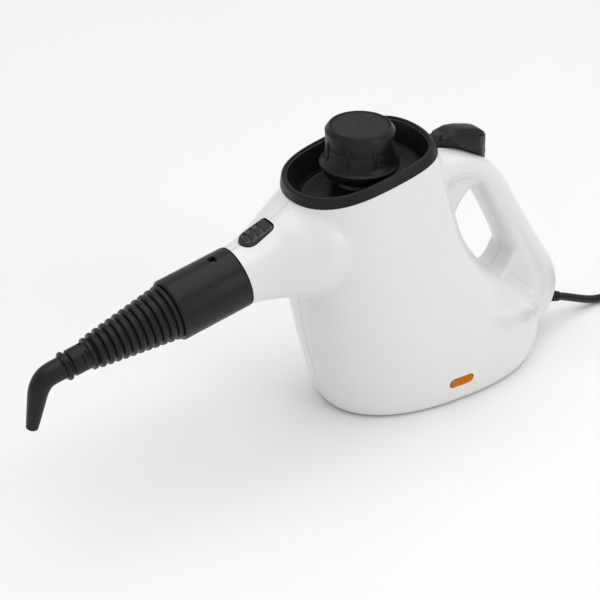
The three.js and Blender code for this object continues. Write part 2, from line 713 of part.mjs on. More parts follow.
function addFillerSeals() {
  const sealTop = FILLER_TOP - 3.6;
  const seal = tube(sealTop - 3, sealTop, FILLER_R + SEAL, FILLER_R + GAP, AXIS_X, 0, SEAL_SIDES);
  addNode('filler_seal', seal, rubber);
  const inner = STEM.r + THREAD.depth + GAP;
  const gasket = tube(FILLER_TOP + GAP, TIER.z - GAP, FILLER_R - 0.4, inner, AXIS_X, 0, SEAL_SIDES);
  addNode('cap_gasket', gasket, silicone);
}

function threadRidges() {
  const ridges = [];
  for (let i = 0; i < THREAD.turns; i++) {
    const low = STEM.bottom + 1.5 + i * THREAD.pitch;
    const mid = low + THREAD.pitch / 2;
    ridges.push([STEM.r, low], [STEM.r + THREAD.depth, mid], [STEM.r, low + THREAD.pitch * 0.98]);
  }
  return ridges;
}

function addCapPlug() {
  const high = TIER.z + TIER.thick;
  addNode('cap_plug', turned([
    [STEM.bore, STEM.bottom], [STEM.r, STEM.bottom], ...threadRidges(), [STEM.r, TIER.z], [TIER.r - 1, TIER.z],
    [TIER.r, TIER.z + 1], [TIER.r, high - 1], [TIER.r - 1, high], [HUB.r, high], [HUB.r, HUB.top],
    [HUB.bore, HUB.top], [HUB.bore, HUB.seat], [STEM.bore, HUB.seat], [STEM.bore, STEM.bottom],
  ], AXIS_X, 0, 18), satinBlack);
}

function capProfile() {
  const { topZ, bevel, bevelR, r, waistR, skirtR, skirtZ, roof } = CAP;
  const recess = topZ - CAP_DISC.deep;
  const inner = r - 3.2;
  const over = TIER.r + 0.6;
  return [
    [0, recess - roof], [inner, recess - roof], [inner, skirtZ + 5.1], [over, skirtZ + 2.7], [over, skirtZ],
    [skirtR, skirtZ], [skirtR, skirtZ + 1.5], [skirtR - 1.2, skirtZ + 2.8], [skirtR - 3, skirtZ + 5.5],
    [waistR + 0.4, skirtZ + 9.6], [waistR, skirtZ + 15], [r, topZ - bevel], [bevelR, topZ],
    [CAP_DISC.r + GAP, topZ], [CAP_DISC.r + GAP, recess], [0, recess],
  ];
}

function addCapKnob() {
  const { count, wide, low, high, r, turn } = CAP_RIBS;
  const knob = toSolid(turned(capProfile(), AXIS_X, 0, 20));
  const ribs = [];
  for (let i = 0; i < count; i++) {
    const rib = box(CAP.waistR - 2, r, -wide / 2, wide / 2, low, high)
      .rotateZ(2 * PI * (i + turn) / count).translate(AXIS_X, 0, 0);
    ribs.push(toSolid(rib));
  }
  addNode('cap_knob', joined([knob, ...ribs]), satinBlack);
  const face = CAP.topZ - CAP_DISC.recess;
  addNode('cap_disc', tube(CAP.topZ - CAP_DISC.deep + GAP, face, CAP_DISC.r, 0, AXIS_X, 0, 24), satinBlack);
}

function addReliefValve() {
  const seat = HUB.seat + GAP;
  addNode('relief_piston', turned([[0, seat], [HUB.bore - 0.6, seat], [HUB.bore - 0.6, seat + 3], [0, seat + 4]],
    AXIS_X, 0, 14), brass);
  addNode('relief_spring', spring(0, seat + 4.3, HUB.top - 0.2, 3.6, 0.45, 3).translate(AXIS_X, 0, 0), steel);
  addNode('relief_retainer', tube(HUB.top + GAP, HUB.top + 2, HUB.r - 0.5, 2, AXIS_X, 0, 14), brass);
  const low = TIER.z + TIER.thick + GAP;
  const roof = CAP.topZ - CAP_DISC.deep - CAP.roof - GAP;
  addNode('cap_spring', spring(0, low, roof, 15.5, 0.9, 4).translate(AXIS_X, 0, 0), steel);
}

// ---------- Nozzle ----------

function addSpout() {
  const { r, bore, length, flange, flangeR } = SPOUT;
  const rear = -flange - SLIDE;
  const body = toSolid(forward(turned([
    [bore, rear], [flangeR, rear], [flangeR, -SLIDE], [r, -SLIDE], [r, length - 1], [r - 1, length],
    [bore, length], [bore, rear],
  ], 0, 0, 24)));
  const way = LATCH.half + SLIDE;
  const channel = toSolid(box(rear - 1, length + 1, -way, way, LATCH.low - LATCH_DROP, flangeR + 1));
  const notch = toSolid(box(rear - 1, SLIDE, -way - 3, way + 3, LATCH.low - LATCH_DROP, flangeR + 1));
  addNode('nozzle_spout', cutBy(body, [channel, notch]), greyPlastic, nozzleFrame);
  const seal = forward(tube(STEAM_TUBE.rear + 1, STEAM_TUBE.rear + 4, bore - GAP, STEAM_TUBE.r + GAP, 0, 0, 16));
  addNode('spout_seal', seal, silicone, nozzleFrame);
}

function addButton() {
  const top = BUTTON.proud;
  const block = toSolid(buttonBlock(0, top - BUTTON.deep, top));
  const steps = [-1, 0, 1].map((i) => {
    const at = -1 + i * 5.2;
    return toSolid(box(at, at + 3.4, 1.6 - BUTTON.wide / 2, BUTTON.wide / 2 - 1.6, top - 0.8, top + 1));
  });
  addNode('release_button', cutBy(block, steps), glossBlack, buttonFrame);
}

// The latch reaches from under the button, through the spout's channel, to the collar's window.
function addLatch() {
  const reach = LATCH_WINDOW.s;
  const { half, low, high, tip, nibHalf } = LATCH;
  const bar = toSolid(box(-15, reach + 2, -half, half, low, high));
  const nib = toSolid(box(reach - 2, reach + 2, -nibHalf, nibHalf, low, tip));
  const clear = BUTTON.proud - BUTTON.deep - GAP;
  const underButton = placed(buttonBlock(1, clear, clear + 30), buttonFrame);
  const whole = bar.add(nib);
  const world = toSolid(toGeometry(whole).applyMatrix4(nozzleFrame.matrix));
  const shape = toGeometry(world.subtract(underButton)).applyMatrix4(nozzleFrame.matrix.clone().invert());
  addNode('latch', shape, greyPlastic, nozzleFrame);
}

function addButtonSpring() {
  const low = SHELF.z + SHELF.thick + GAP;
  addNode('button_spring', spring(BUTTON.x - 3.4, low, 156.2, 3.2, 0.45, 3), steel);
}

function addCollar() {
  const { r, length, socket, wall, bulkhead } = COLLAR;
  const bore = r - wall;
  const hole = STEAM_TUBE.r + GAP;
  const body = toSolid(forward(turned([
    [bore, SLIDE], [r - 0.5, SLIDE], [r, SLIDE + 0.5], [r, length - 0.5], [r - 0.5, length], [bore, length],
    [bore, socket + bulkhead], [hole, socket + bulkhead], [hole, socket], [bore, socket], [bore, SLIDE],
  ], 0, 0, 28)));
  const { s, long, wide } = LATCH_WINDOW;
  const window = toSolid(box(s - long / 2, s + long / 2, -wide / 2, wide / 2, 0.8 * r, r + 1));
  addNode('extension_collar', body.subtract(window), satinBlack, nozzleFrame);
}

// Radius over the ribs at a distance along the nozzle.
function coneRadius(s) {
  return CONE.rearR + (CONE.frontR - CONE.rearR) * (s - CONE_FROM) / (CONE_TO - CONE_FROM);
}

function coneRibs() {
  const points = [];
  const slope = 0.5;
  for (let i = 0; i < CONE.ribs; i++) {
    const s = CONE_FROM + i * CONE.pitch;
    const r = coneRadius(s);
    const low = r - CONE.depth;
    points.push([low, s], [r, s + slope], [r, s + CONE.ridge - slope], [low, s + CONE.ridge]);
  }
  return points;
}

function addCone() {
  const spigot = COLLAR.r - COLLAR.wall - GAP;
  const rear = COLLAR.socket + COLLAR.bulkhead + GAP;
  const bore = STEAM_TUBE.r + GAP;
  const thick = 2.2;
  const { r, ringR, ring } = TIP_SOCKET;
  addNode('ribbed_cone', forward(turned([
    [spigot - thick, rear], [spigot, rear], [spigot, CONE_FROM], ...coneRibs(), [ringR, CONE_TO],
    [ringR, CONE_TO + ring], [r, CONE_TO + ring], [r, SOCKET_END - 1], [r - 1, SOCKET_END], [bore, SOCKET_END],
    [bore, CONE_TO], [CONE.frontR - CONE.depth - thick + 0.6, CONE_TO - 2], [spigot - thick, CONE_FROM],
    [spigot - thick, rear],
  ], 0, 0, 14)), satinBlack, nozzleFrame);
  const steamTube = tube(STEAM_TUBE.rear, SOCKET_END - 1, STEAM_TUBE.r, STEAM_TUBE.bore, 0, 0, 12);
  addNode('steam_tube', forward(steamTube),
    brass, nozzleFrame);
  addNode('tip_seal', forward(tube(SOCKET_END + GAP, SOCKET_END + 1.4, r - 1.4, STEAM_TUBE.r, 0, 0, 16)),
    rubber, nozzleFrame);
}

// The bent tip: a locking ring and a tube that narrows round the bend.
function addTip() {
  const start = SOCKET_END + 1.4 + GAP;
  const ring = toSolid(forward(turned([
    [0, start], [TIP.ringR - 1, start], [TIP.ringR, start + 1], [TIP.ringR, start + TIP.ring - 1],
    [TIP.ringR - 1, start + TIP.ring], [0, start + TIP.ring],
  ], 0, 0, 20)));
  const rings = TIP_PATH.map((here, i) => {
    const before = TIP_PATH[Math.max(i - 1, 0)];
    const after = TIP_PATH[Math.min(i + 1, TIP_PATH.length - 1)];
    const lean = atan2(after.up - before.up, after.s - before.s);
    return oval(here.r, here.r, 2, 16).map(([y, n]) => new THREE.Vector3(
      start + here.s - n * sin(lean), y, here.up + n * cos(lean)));
  });
  const end = TIP_PATH.at(-1);
  const last = TIP_PATH.at(-2);
  const lean = atan2(last.up - end.up, end.s - last.s);
  const bore = toSolid(forward(tube(-8, 2, TIP.bore, 0, 0, 0, 10)).rotateY(lean)
    .translate(start + end.s, 0, end.up));
  addNode('bent_tip', ring.add(toSolid(loft(rings))).subtract(bore), satinBlack, nozzleFrame);
}

// ---------- Trigger and steam valve ----------

// Height of the handle's top surface along its middle line.
function handleTop(x) {
  const rings = HANDLE.map((station, i) => {
    const before = HANDLE[Math.max(i - 1, 0)];
    const after = HANDLE[Math.min(i + 1, HANDLE.length - 1)];
    const tilt = atan2(before.z - after.z, after.x - before.x);
    return { x: station.x - station.up * sin(tilt), z: station.z - station.up * cos(tilt) };
  });
  for (let i = 0; i + 1 < rings.length; i++) {
    const [a, b] = [rings[i], rings[i + 1]];
    if (x <= a.x && x >= b.x) return a.z + (b.z - a.z) * (a.x - x) / (a.x - b.x);
  }
  return rings[0].z;
}

// The trigger's outline from above: half an ellipse at the rear, and cut corners at the front.
function triggerPlan() {
  const { rearX, rearLong, frontX, tipX, tipHalf } = TRIGGER_PLAN;
  const rear = [];
  for (let i = 0; i <= 10; i++) {
    const t = PI / 2 + PI * i / 10;
    rear.push([rearX + rearLong * cos(t), TRIGGER_HALF * sin(t)]);
  }
  const front = [[frontX, -TRIGGER_HALF], [tipX, -tipHalf], [tipX, tipHalf], [frontX, TRIGGER_HALF]];
  return [...rear, ...front];
}

// The trigger's cap: its side outline drops towards both sides, and its plan is rounded.
function triggerCap(under) {
  const { from, drop } = TRIGGER_CHAMFER;
  const rows = [[-TRIGGER_HALF, drop], [-from, 0], [from, 0], [TRIGGER_HALF, drop]];
  const rings = rows.map(([y, lower]) => {
    const top = TRIGGER_TOP.map(([x, z]) => [x, z - lower]);
    return [...top, TRIGGER_HEEL, ...under].map(([x, z]) => new THREE.Vector3(x, y, z));
  });
  const low = PIVOT.z - CUT;
  const high = TRIGGER_TOP[2][1] + CUT;
  const plan = toSolid(loft([low, high].map((z) => triggerPlan().map(([x, y]) => new THREE.Vector3(x, y, z)))));
  return toSolid(loft(rings)).intersect(plan);
}

function addTrigger() {
  const under = TRIGGER_UNDER.map((x) => {
    const drop = Math.max(x - PIVOT.x, 0) * tan(TRIGGER_TRAVEL);
    return [x, handleTop(x) + drop + TRIGGER_ROOM];
  });
  const core = toSolid(plate([
    [-45.8, 180], [-45.4, PIVOT.z + 1], [-43.5, PIVOT.z - 3], [-39, PIVOT.z - 3], [-30, PIVOT.z + 1.5],
    [-12, 178], [2, PLUNGER_TOP + GAP], [10, PLUNGER_TOP + GAP], [10, 190.5], [4, 193], [3.6, 199.4], [-6, 201], [-20, 199],
  ], CORE_HALF));
  const bore = toSolid(acrossY(PIN_R + GAP, PIVOT.x, PIVOT.z, -20, 20));
  addNode('trigger', triggerCap(under).add(core).subtract(bore), satinBlack);
  addNode('trigger_pin', acrossY(PIN_R, PIVOT.x, PIVOT.z, -PIN_HALF, PIN_HALF), steel);
}

function addValve() {
  const { x, half, bottom, top, bore, floor, port, outlet } = VALVE;
  const body = toSolid(box(x - half, x + half, -half, half, bottom, top));
  addNode('valve_body', cutBy(body, [
    toSolid(tube(bottom + floor, top + CUT, bore, 0, x, 0, 20)),
    toSolid(tube(bottom - CUT, bottom + floor + 1, port, 0, x, 0, 12)),
    toSolid(forward(tube(0, half + CUT, port, 0, 0, 0, 12)).translate(x, 0, outlet)),
  ]), brass);
  const { stemR, headR, headZ, head, padR, pad } = PLUNGER;
  addNode('valve_plunger', turned([
    [0, headZ], [headR, headZ], [headR, headZ + head], [stemR, headZ + head], [stemR, PLUNGER_TOP - pad],
    [padR, PLUNGER_TOP - pad], [padR, PLUNGER_TOP], [0, PLUNGER_TOP],
  ], x, 0, 16), steel);
  addNode('valve_spring', spring(0, bottom + floor + GAP, headZ - 0.2, 3.2, 0.45, 4).translate(x, 0, 0), steel);
}

function addSteamPipes() {
  const pipe = 2.4;
  const { x, half, bottom, outlet } = VALVE;
  const feed = AXIS_X - FILLER_R - 6.4;
  addNode('feed_pipe', bentBar([
    [feed, 0, BOILER.top - 0.5], [feed, 0, 124], [feed - 7, 0, 130],
    [20, 0, 130.5], [10, 0, 130.8], [x, 0, 133.5],
    [x, 0, bottom - GAP],
  ], pipe, 6, 14), copper);
  const end = { s: 8, x: NECK_END.x + 8 * cos(NOZZLE_TILT), z: NECK_END.z - 8 * sin(NOZZLE_TILT) };
  addNode('outlet_pipe', bentBar([
    [x + half + GAP, 0, outlet], [x + half + 4, 0, outlet], [25, 4, 157.6], [35, 15, 156],
    [48, 23.5, 152.5], [66, 26, 149.5], [88, 21, 146],
    [112, 9, 142.5], [134, 1, 141.6], [150, 0, 140.6], [end.x, 0, end.z],
  ], pipe, 6, 20), copper);
}

// ---------- Indicator and wiring ----------

function addIndicator() {
  const outside = 56.5;
  const inside = 49.5;
  const flange = 2.4;
  const window = toSolid(lensBlock(0, inside, outside));
  const back = toSolid(lensBlock(1.4, inside, inside + flange));
  addNode('indicator_lens', window.add(back), amber);
  addNode('indicator_lamp', acrossY(2.6, LENS.x, LENS.z, 37, inside - GAP, 12), lampGlass);
  addNode('lamp_holder', box(LENS.x - 6, LENS.x + 6, 29, 37 - GAP, BASE_THICK + GAP, LENS.z + 5), greyPlastic);
}

function addWiring() {
  const floor = BASE_THICK + GAP;
  const leadZ = 12;
  const block = { x0: -58, x1: -38, half: 11, top: 18 };
  addNode('terminal_block', box(block.x0, block.x1, -block.half, block.half, floor, block.top), greyPlastic);
  const clamp = { x0: -69, x1: -62, half: 10, top: 17 };
  addNode('cord_clamp', toSolid(box(clamp.x0, clamp.x1, -clamp.half, clamp.half, floor, clamp.top)).subtract(
    toSolid(forward(tube(-20, 20, CORD_R + GAP, 0, 0, 0, 16)).translate(clamp.x0, 0, leadZ))), greyPlastic);
  const inside = RELIEF.wallIn + 3 + GAP;
  const [lean, rise] = [cos(RELIEF.drop), sin(RELIEF.drop)];
  const back = (distance) => [CORD_EXIT.x + distance * lean, 0, CORD_EXIT.z + distance * rise];
  addNode('supply_lead', bentBar([
    back(inside), back(inside + 3), [-94, 0, 34.4], [-87, 0, 31], [-82, 0, 24], [-77, 0, 16], [-71, 0, leadZ],
    [-66, 0, leadZ], [block.x0 - GAP, 0, leadZ],
  ], CORD_R, 6, 14), rubber);
}

// ---------- Cord ----------

// The strain relief is drawn upright, then laid pointing back and a little down.
function addRelief() {
  const { rearR, frontR, length, neckR, flangeR, wallIn } = RELIEF;
  const body = turned([
    [0, -wallIn - 3], [flangeR, -wallIn - 3], [flangeR, -wallIn], [neckR, -wallIn], [neckR, 2],
    [rearR, 2], [rearR, 3.5], [frontR, length], [0, length],
  ], 0, 0, 14);
  addNode('strain_relief', body.rotateY(-PI / 2 - RELIEF.drop)
    .translate(CORD_EXIT.x, 0, CORD_EXIT.z), rubber);
}

function addCord() {
  addNode('cord', bentBar(CORD_POINTS, CORD_R, 8, 20), rubber);
  const half = COIL_WIDE / 2;
  const high = COIL.up * 2 * CORD_R;
  addNode('cord_coil', tube(COIL.floor, COIL.floor + high, COIL.r + half, COIL.r - half, COIL.x, COIL.y, 32), rubber);
  addPlug(half, high);
}

// The plug lies on the floor beyond the coil, on the last stretch of cord.
function addPlug(half, high) {
  const { faceR, face, tailR, length, pinR, pin, pinHalf, tail } = PLUG;
  const axisZ = faceR + GAP;
  const y = COIL.y + COIL.r + half - CORD_R;
  const cordEnd = COIL.x + tail;
  const topZ = COIL.floor + high - CORD_R;
  addNode('plug_lead', bentBar([
    [COIL.x + 11, y + 2 * CORD_R + 0.6, topZ], [COIL.x + 0.7 * tail, y + 9, topZ + 2],
    [cordEnd - 1, y + 10.8, axisZ - 0.3], [cordEnd + 3, y + 11, axisZ], [cordEnd + 7, y + 11, axisZ],
  ], CORD_R, 8, 8), rubber);
  const start = cordEnd + 7 + GAP;
  const body = turned([
    [0, 0], [CORD_R + 1.2, 0], [tailR, 12], [faceR * 0.6, 22], [faceR * 0.72, length - face - 3],
    [faceR, length - face], [faceR, length], [0, length],
  ], 0, 0, 18);
  addNode('plug_body', forward(body).translate(start, y + 11, axisZ), rubber);
  [-1, 1].forEach((side, i) => {
    const at = start + length + GAP;
    const shape = forward(turned([[0, 0], [pinR, 0], [pinR, pin - 2], [0, pin]], 0, 0, 12));
    addNode('plug_pin_' + (i + 1), shape.translate(at, y + 11, axisZ + side * pinHalf), steel);
  });
}

addHousing();
addBase();
addScrews();
addTray();
addBoiler();
addBoilerBolts();
addBracket();
addHeater();
addSensors();
addFillerSeals();
addCapPlug();
addCapKnob();
addReliefValve();
addSpout();
addButton();
addLatch();
addButtonSpring();
addCollar();
addCone();
addTip();
addTrigger();
addValve();
addSteamPipes();
addIndicator();
addWiring();
addRelief();
addCord();

export default cleaner;
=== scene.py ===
"""A hand-held steam cleaner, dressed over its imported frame."""
import json
from math import atan2, cos, pi, radians, sin

import bmesh
import bpy
import numpy as np
from mathutils import Matrix, Vector


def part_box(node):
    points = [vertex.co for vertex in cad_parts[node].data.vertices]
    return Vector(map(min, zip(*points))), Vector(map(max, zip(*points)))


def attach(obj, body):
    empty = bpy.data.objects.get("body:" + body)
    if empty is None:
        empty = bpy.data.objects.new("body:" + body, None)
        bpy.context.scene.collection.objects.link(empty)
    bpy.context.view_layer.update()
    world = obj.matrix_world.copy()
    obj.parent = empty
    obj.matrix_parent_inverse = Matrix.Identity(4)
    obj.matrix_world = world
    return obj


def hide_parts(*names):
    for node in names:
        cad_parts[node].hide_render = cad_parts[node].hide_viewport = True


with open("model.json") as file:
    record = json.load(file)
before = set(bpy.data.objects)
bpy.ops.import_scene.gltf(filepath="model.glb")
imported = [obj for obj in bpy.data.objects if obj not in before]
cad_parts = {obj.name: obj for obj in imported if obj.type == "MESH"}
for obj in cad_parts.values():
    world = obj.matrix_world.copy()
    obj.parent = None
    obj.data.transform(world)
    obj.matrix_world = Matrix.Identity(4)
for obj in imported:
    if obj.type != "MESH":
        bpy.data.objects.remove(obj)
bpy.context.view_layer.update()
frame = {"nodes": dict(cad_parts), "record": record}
MM = 0.001

# ---------- Camera ----------
CAMERA_AT = (0.71760, 0.92592, 0.77978)
CAMERA_TO = (0.1140, 0.0, 0.0998)


def look_at(obj, eye, target):
    back = (Vector(eye) - Vector(target)).normalized()
    right = Vector((0, 0, 1)).cross(back).normalized()
    up = back.cross(right)
    obj.matrix_world = Matrix.Translation(eye) @ Matrix((right, up, back)).transposed().to_4x4()


camera = bpy.data.objects.new("camera", bpy.data.cameras.new("camera"))
bpy.context.scene.collection.objects.link(camera)
camera.data.sensor_width = 36
camera.data.lens = 108
camera.data.clip_start = 0.05
look_at(camera, CAMERA_AT, CAMERA_TO)
bpy.context.scene.camera = camera
bpy.context.view_layer.update()


# ---------- Materials ----------
class Nodes:
    """A Principled material with helpers for noise, bump and colour variation."""

    def __init__(self, name, colour, roughness, **sockets):
        self.name = name
        self.material = bpy.data.materials.new(name)
        self.material.use_nodes = True
        self.tree = self.material.node_tree
        self.shader = self.tree.nodes["Principled BSDF"]
        self.shader.inputs["Base Color"].default_value = (*colour, 1)
        self.shader.inputs["Roughness"].default_value = roughness
        for key, value in sockets.items():
            self.shader.inputs[key.replace("_", " ")].default_value = value
        self.place = self.tree.nodes.new("ShaderNodeTexCoord").outputs["Object"]
        self.normal = None

    def noise(self, scale, detail=4.0, stretch=None):
        """A noise value over the piece, scale in cycles per metre."""
        texture = self.tree.nodes.new("ShaderNodeTexNoise")
        texture.inputs["Scale"].default_value = scale
        texture.inputs["Detail"].default_value = detail
        place = self.place
        if stretch:
            mapping = self.tree.nodes.new("ShaderNodeMapping")
            mapping.inputs["Scale"].default_value = stretch
            self.tree.links.new(place, mapping.inputs["Vector"])
            place = mapping.outputs["Vector"]
        self.tree.links.new(place, texture.inputs["Vector"])
        return texture.outputs["Fac"]

    def spread(self, value, low, high):
        """The value's middle range, mapped to low and high."""
        ranged = self.tree.nodes.new("ShaderNodeMapRange")
        ranged.inputs["From Min"].default_value = 0.3
        ranged.inputs["From Max"].default_value = 0.7
        ranged.inputs["To Min"].default_value = low
        ranged.inputs["To Max"].default_value = high
        self.tree.links.new(value, ranged.inputs["Value"])
        return ranged.outputs["Result"]

    def roughness(self, value, low, high):
        self.tree.links.new(self.spread(value, low, high), self.shader.inputs["Roughness"])

    def colours(self, value, first, second):
        mix = self.tree.nodes.new("ShaderNodeMix")
        mix.data_type = "RGBA"
        mix.inputs["A"].default_value = (*first, 1)
        mix.inputs["B"].default_value = (*second, 1)
        self.tree.links.new(self.spread(value, 0, 1), mix.inputs["Factor"])
        self.tree.links.new(mix.outputs["Result"], self.shader.inputs["Base Color"])

    def bump(self, value, depth, strength=1.0):
        """Raises the surface by depth millimetres where the value is high."""
        node = self.tree.nodes.new("ShaderNodeBump")
        node.inputs["Distance"].default_value = depth * MM
        node.inputs["Strength"].default_value = strength
        self.tree.links.new(value, node.inputs["Height"])
        if self.normal:
            self.tree.links.new(self.normal, node.inputs["Normal"])
        self.normal = node.outputs["Normal"]
        self.tree.links.new(self.normal, self.shader.inputs["Normal"])


def make_materials():
    made = {}

    def keep(nodes):
        made[nodes.name] = nodes.material

    m = Nodes("white_abs", (0.8, 0.8, 0.797), 0.22, Coat_Weight=0.3, Coat_Roughness=0.08, IOR=1.5)
    m.colours(m.noise(9, 3), (0.79, 0.79, 0.787), (0.812, 0.812, 0.809))
    m.roughness(m.noise(70, 5), 0.16, 0.24)
    m.bump(m.noise(28, 2), 0.12, 0.5)
    m.bump(m.noise(1500, 2), 0.004, 0.5)
    keep(m)
    m = Nodes("satin_black", (0.007, 0.007, 0.0068), 0.36, IOR=1.42, Specular_IOR_Level=0.34)
    m.colours(m.noise(60, 4), (0.006, 0.006, 0.0058), (0.009, 0.009, 0.0087))
    m.roughness(m.noise(240, 4), 0.3, 0.42)
    m.bump(m.noise(2600, 3), 0.02, 0.6)
    keep(m)
    m = Nodes("matt_black", (0.013, 0.013, 0.013), 0.6, IOR=1.42, Specular_IOR_Level=0.34)
    m.colours(m.noise(80, 4), (0.011, 0.011, 0.011), (0.016, 0.016, 0.0158))
    m.roughness(m.noise(300, 4), 0.52, 0.66)
    m.bump(m.noise(2200, 3), 0.05, 0.8)
    keep(m)
    m = Nodes("gloss_black", (0.004, 0.004, 0.004), 0.12, IOR=1.42, Coat_Weight=0.4, Coat_Roughness=0.04)
    m.roughness(m.noise(150, 4), 0.08, 0.16)
    m.bump(m.noise(120, 3), 0.03, 0.4)
    keep(m)
    m = Nodes("grey_plastic", (0.2, 0.205, 0.21), 0.45)
    m.colours(m.noise(50, 4), (0.18, 0.185, 0.19), (0.22, 0.225, 0.23))
    m.roughness(m.noise(300, 3), 0.38, 0.52)
    m.bump(m.noise(1800, 3), 0.03, 0.7)
    keep(m)
    m = Nodes("black_rubber", (0.009, 0.009, 0.009), 0.36, IOR=1.42, Specular_IOR_Level=0.4)
    m.colours(m.noise(90, 4), (0.008, 0.008, 0.008), (0.012, 0.012, 0.0115))
    m.roughness(m.noise(400, 4), 0.26, 0.42)
    m.bump(m.noise(1500, 3), 0.03, 0.6)
    keep(m)
    m = Nodes("silicone", (0.42, 0.12, 0.07), 0.5, Subsurface_Weight=0.1, Subsurface_Scale=0.002)
    m.colours(m.noise(120, 4), (0.38, 0.10, 0.06), (0.46, 0.14, 0.08))
    m.roughness(m.noise(500, 3), 0.42, 0.6)
    m.bump(m.noise(1800, 3), 0.03, 0.6)
    keep(m)
    m = Nodes("amber_lens", (0.56, 0.15, 0.0008), 0.2, IOR=1.4, Specular_IOR_Level=0.15)
    m.colours(m.noise(160, 3), (0.5, 0.13, 0.0005), (0.62, 0.18, 0.001))
    m.roughness(m.noise(300, 3), 0.12, 0.22)
    m.bump(m.noise(260, 2), 0.05, 0.5)
    keep(m)
    m = Nodes("lamp_glass", (0.95, 0.9, 0.82), 0.05, Transmission_Weight=0.8, IOR=1.45)
    m.roughness(m.noise(300, 3), 0.03, 0.08)
    keep(m)
    m = Nodes("cast_aluminium", (0.55, 0.56, 0.57), 0.45, Metallic=1.0)
    m.colours(m.noise(140, 5), (0.48, 0.49, 0.5), (0.6, 0.61, 0.62))
    m.roughness(m.noise(420, 4), 0.36, 0.58)
    m.bump(m.noise(1100, 4), 0.08, 0.9)
    keep(m)
    m = Nodes("steel", (0.56, 0.57, 0.58), 0.3, Metallic=1.0)
    m.colours(m.noise(200, 4), (0.5, 0.51, 0.52), (0.62, 0.63, 0.64))
    m.roughness(m.noise(900, 3, (1, 1, 6)), 0.2, 0.38)
    m.bump(m.noise(1400, 3, (1, 1, 8)), 0.01, 0.5)
    keep(m)
    m = Nodes("brass", (0.66, 0.45, 0.15), 0.3, Metallic=1.0)
    m.colours(m.noise(160, 4), (0.58, 0.38, 0.12), (0.72, 0.5, 0.18))
    m.roughness(m.noise(600, 3), 0.22, 0.38)
    m.bump(m.noise(1200, 3), 0.012, 0.5)
    keep(m)
    m = Nodes("copper", (0.68, 0.33, 0.18), 0.3, Metallic=1.0)
    m.colours(m.noise(120, 4), (0.58, 0.26, 0.13), (0.74, 0.38, 0.22))
    m.roughness(m.noise(600, 3), 0.22, 0.4)
    m.bump(m.noise(1200, 3), 0.012, 0.5)
    keep(m)
    m = Nodes("floor", (0.93, 0.93, 0.93), 0.55)
    m.roughness(m.noise(6, 3), 0.5, 0.6)
    keep(m)
    return made


MATERIALS = make_materials()


# ---------- Building ----------
def new_object(name, verts, faces, material, frame_matrix=None, sharp=38):
    """A mesh piece from points in millimetres."""
    mesh = bpy.data.meshes.new(name)
    points = np.asarray(verts, float)
    if frame_matrix is not None:
        m = np.array(frame_matrix)
        points = points @ m[:3, :3].T + m[:3, 3]
    mesh.from_pydata((points * MM).tolist(), [], [tuple(f) for f in faces])
    mesh.update()
    bm = bmesh.new()
    bm.from_mesh(mesh)
    bmesh.ops.recalc_face_normals(bm, faces=bm.faces)
    bm.to_mesh(mesh)
    bm.free()
    mesh.materials.append(MATERIALS[material])
    obj = bpy.data.objects.new(name, mesh)
    bpy.context.scene.collection.objects.link(obj)
    smooth(obj, sharp)
    return obj


def smooth(obj, sharp=38):
    obj.data.polygons.foreach_set("use_smooth", [True] * len(obj.data.polygons))
    obj.data.set_sharp_from_angle(angle=radians(sharp))


def baked(obj):
    """Applies the object's modifiers to its mesh."""
    depsgraph = bpy.context.evaluated_depsgraph_get()
    mesh = bpy.data.meshes.new_from_object(obj.evaluated_get(depsgraph))
    obj.modifiers.clear()
    old = obj.data
    obj.data = mesh
    bpy.data.meshes.remove(old)
    return obj


def boolean(obj, tool, operation="DIFFERENCE", keep_tool=False):
    modifier = obj.modifiers.new("cut", "BOOLEAN")
    modifier.operation = operation
    modifier.object = tool
    modifier.solver = "MANIFOLD"
    baked(obj)
    if not keep_tool:
        bpy.data.objects.remove(tool)
    return obj


def bevelled(obj, width, segments=3, angle=35):
    """Rounds the sharp edges by width millimetres."""
    modifier = obj.modifiers.new("bevel", "BEVEL")
    modifier.width = width * MM
    modifier.segments = segments
    modifier.limit_method = "ANGLE"
    modifier.angle_limit = radians(angle)
    modifier.use_clamp_overlap = True
    modifier.harden_normals = True
    return obj


def loft_mesh(rings, closed=False):
    """Points and faces for rings of equal count; closed joins the last ring to the first."""
    rings = [np.asarray(r, float) for r in rings]
    count = len(rings[0])
    verts = np.concatenate(rings)
    faces = []
    pairs = [(r, r + 1) for r in range(len(rings) - 1)]
    if closed:
        pairs.append((len(rings) - 1, 0))
    for a, b in pairs:
        for i in range(count):
            j = (i + 1) % count
            faces.append((a * count + i, a * count + j, b * count + j, b * count + i))
    if not closed:
        faces.append(tuple(range(count - 1, -1, -1)))
        faces.append(tuple((len(rings) - 1) * count + i for i in range(count)))
    return verts, faces


def loft(name, rings, material, closed=False, matrix=None, sharp=38):
    verts, faces = loft_mesh(rings, closed)
    return new_object(name, verts, faces, material, matrix, sharp)


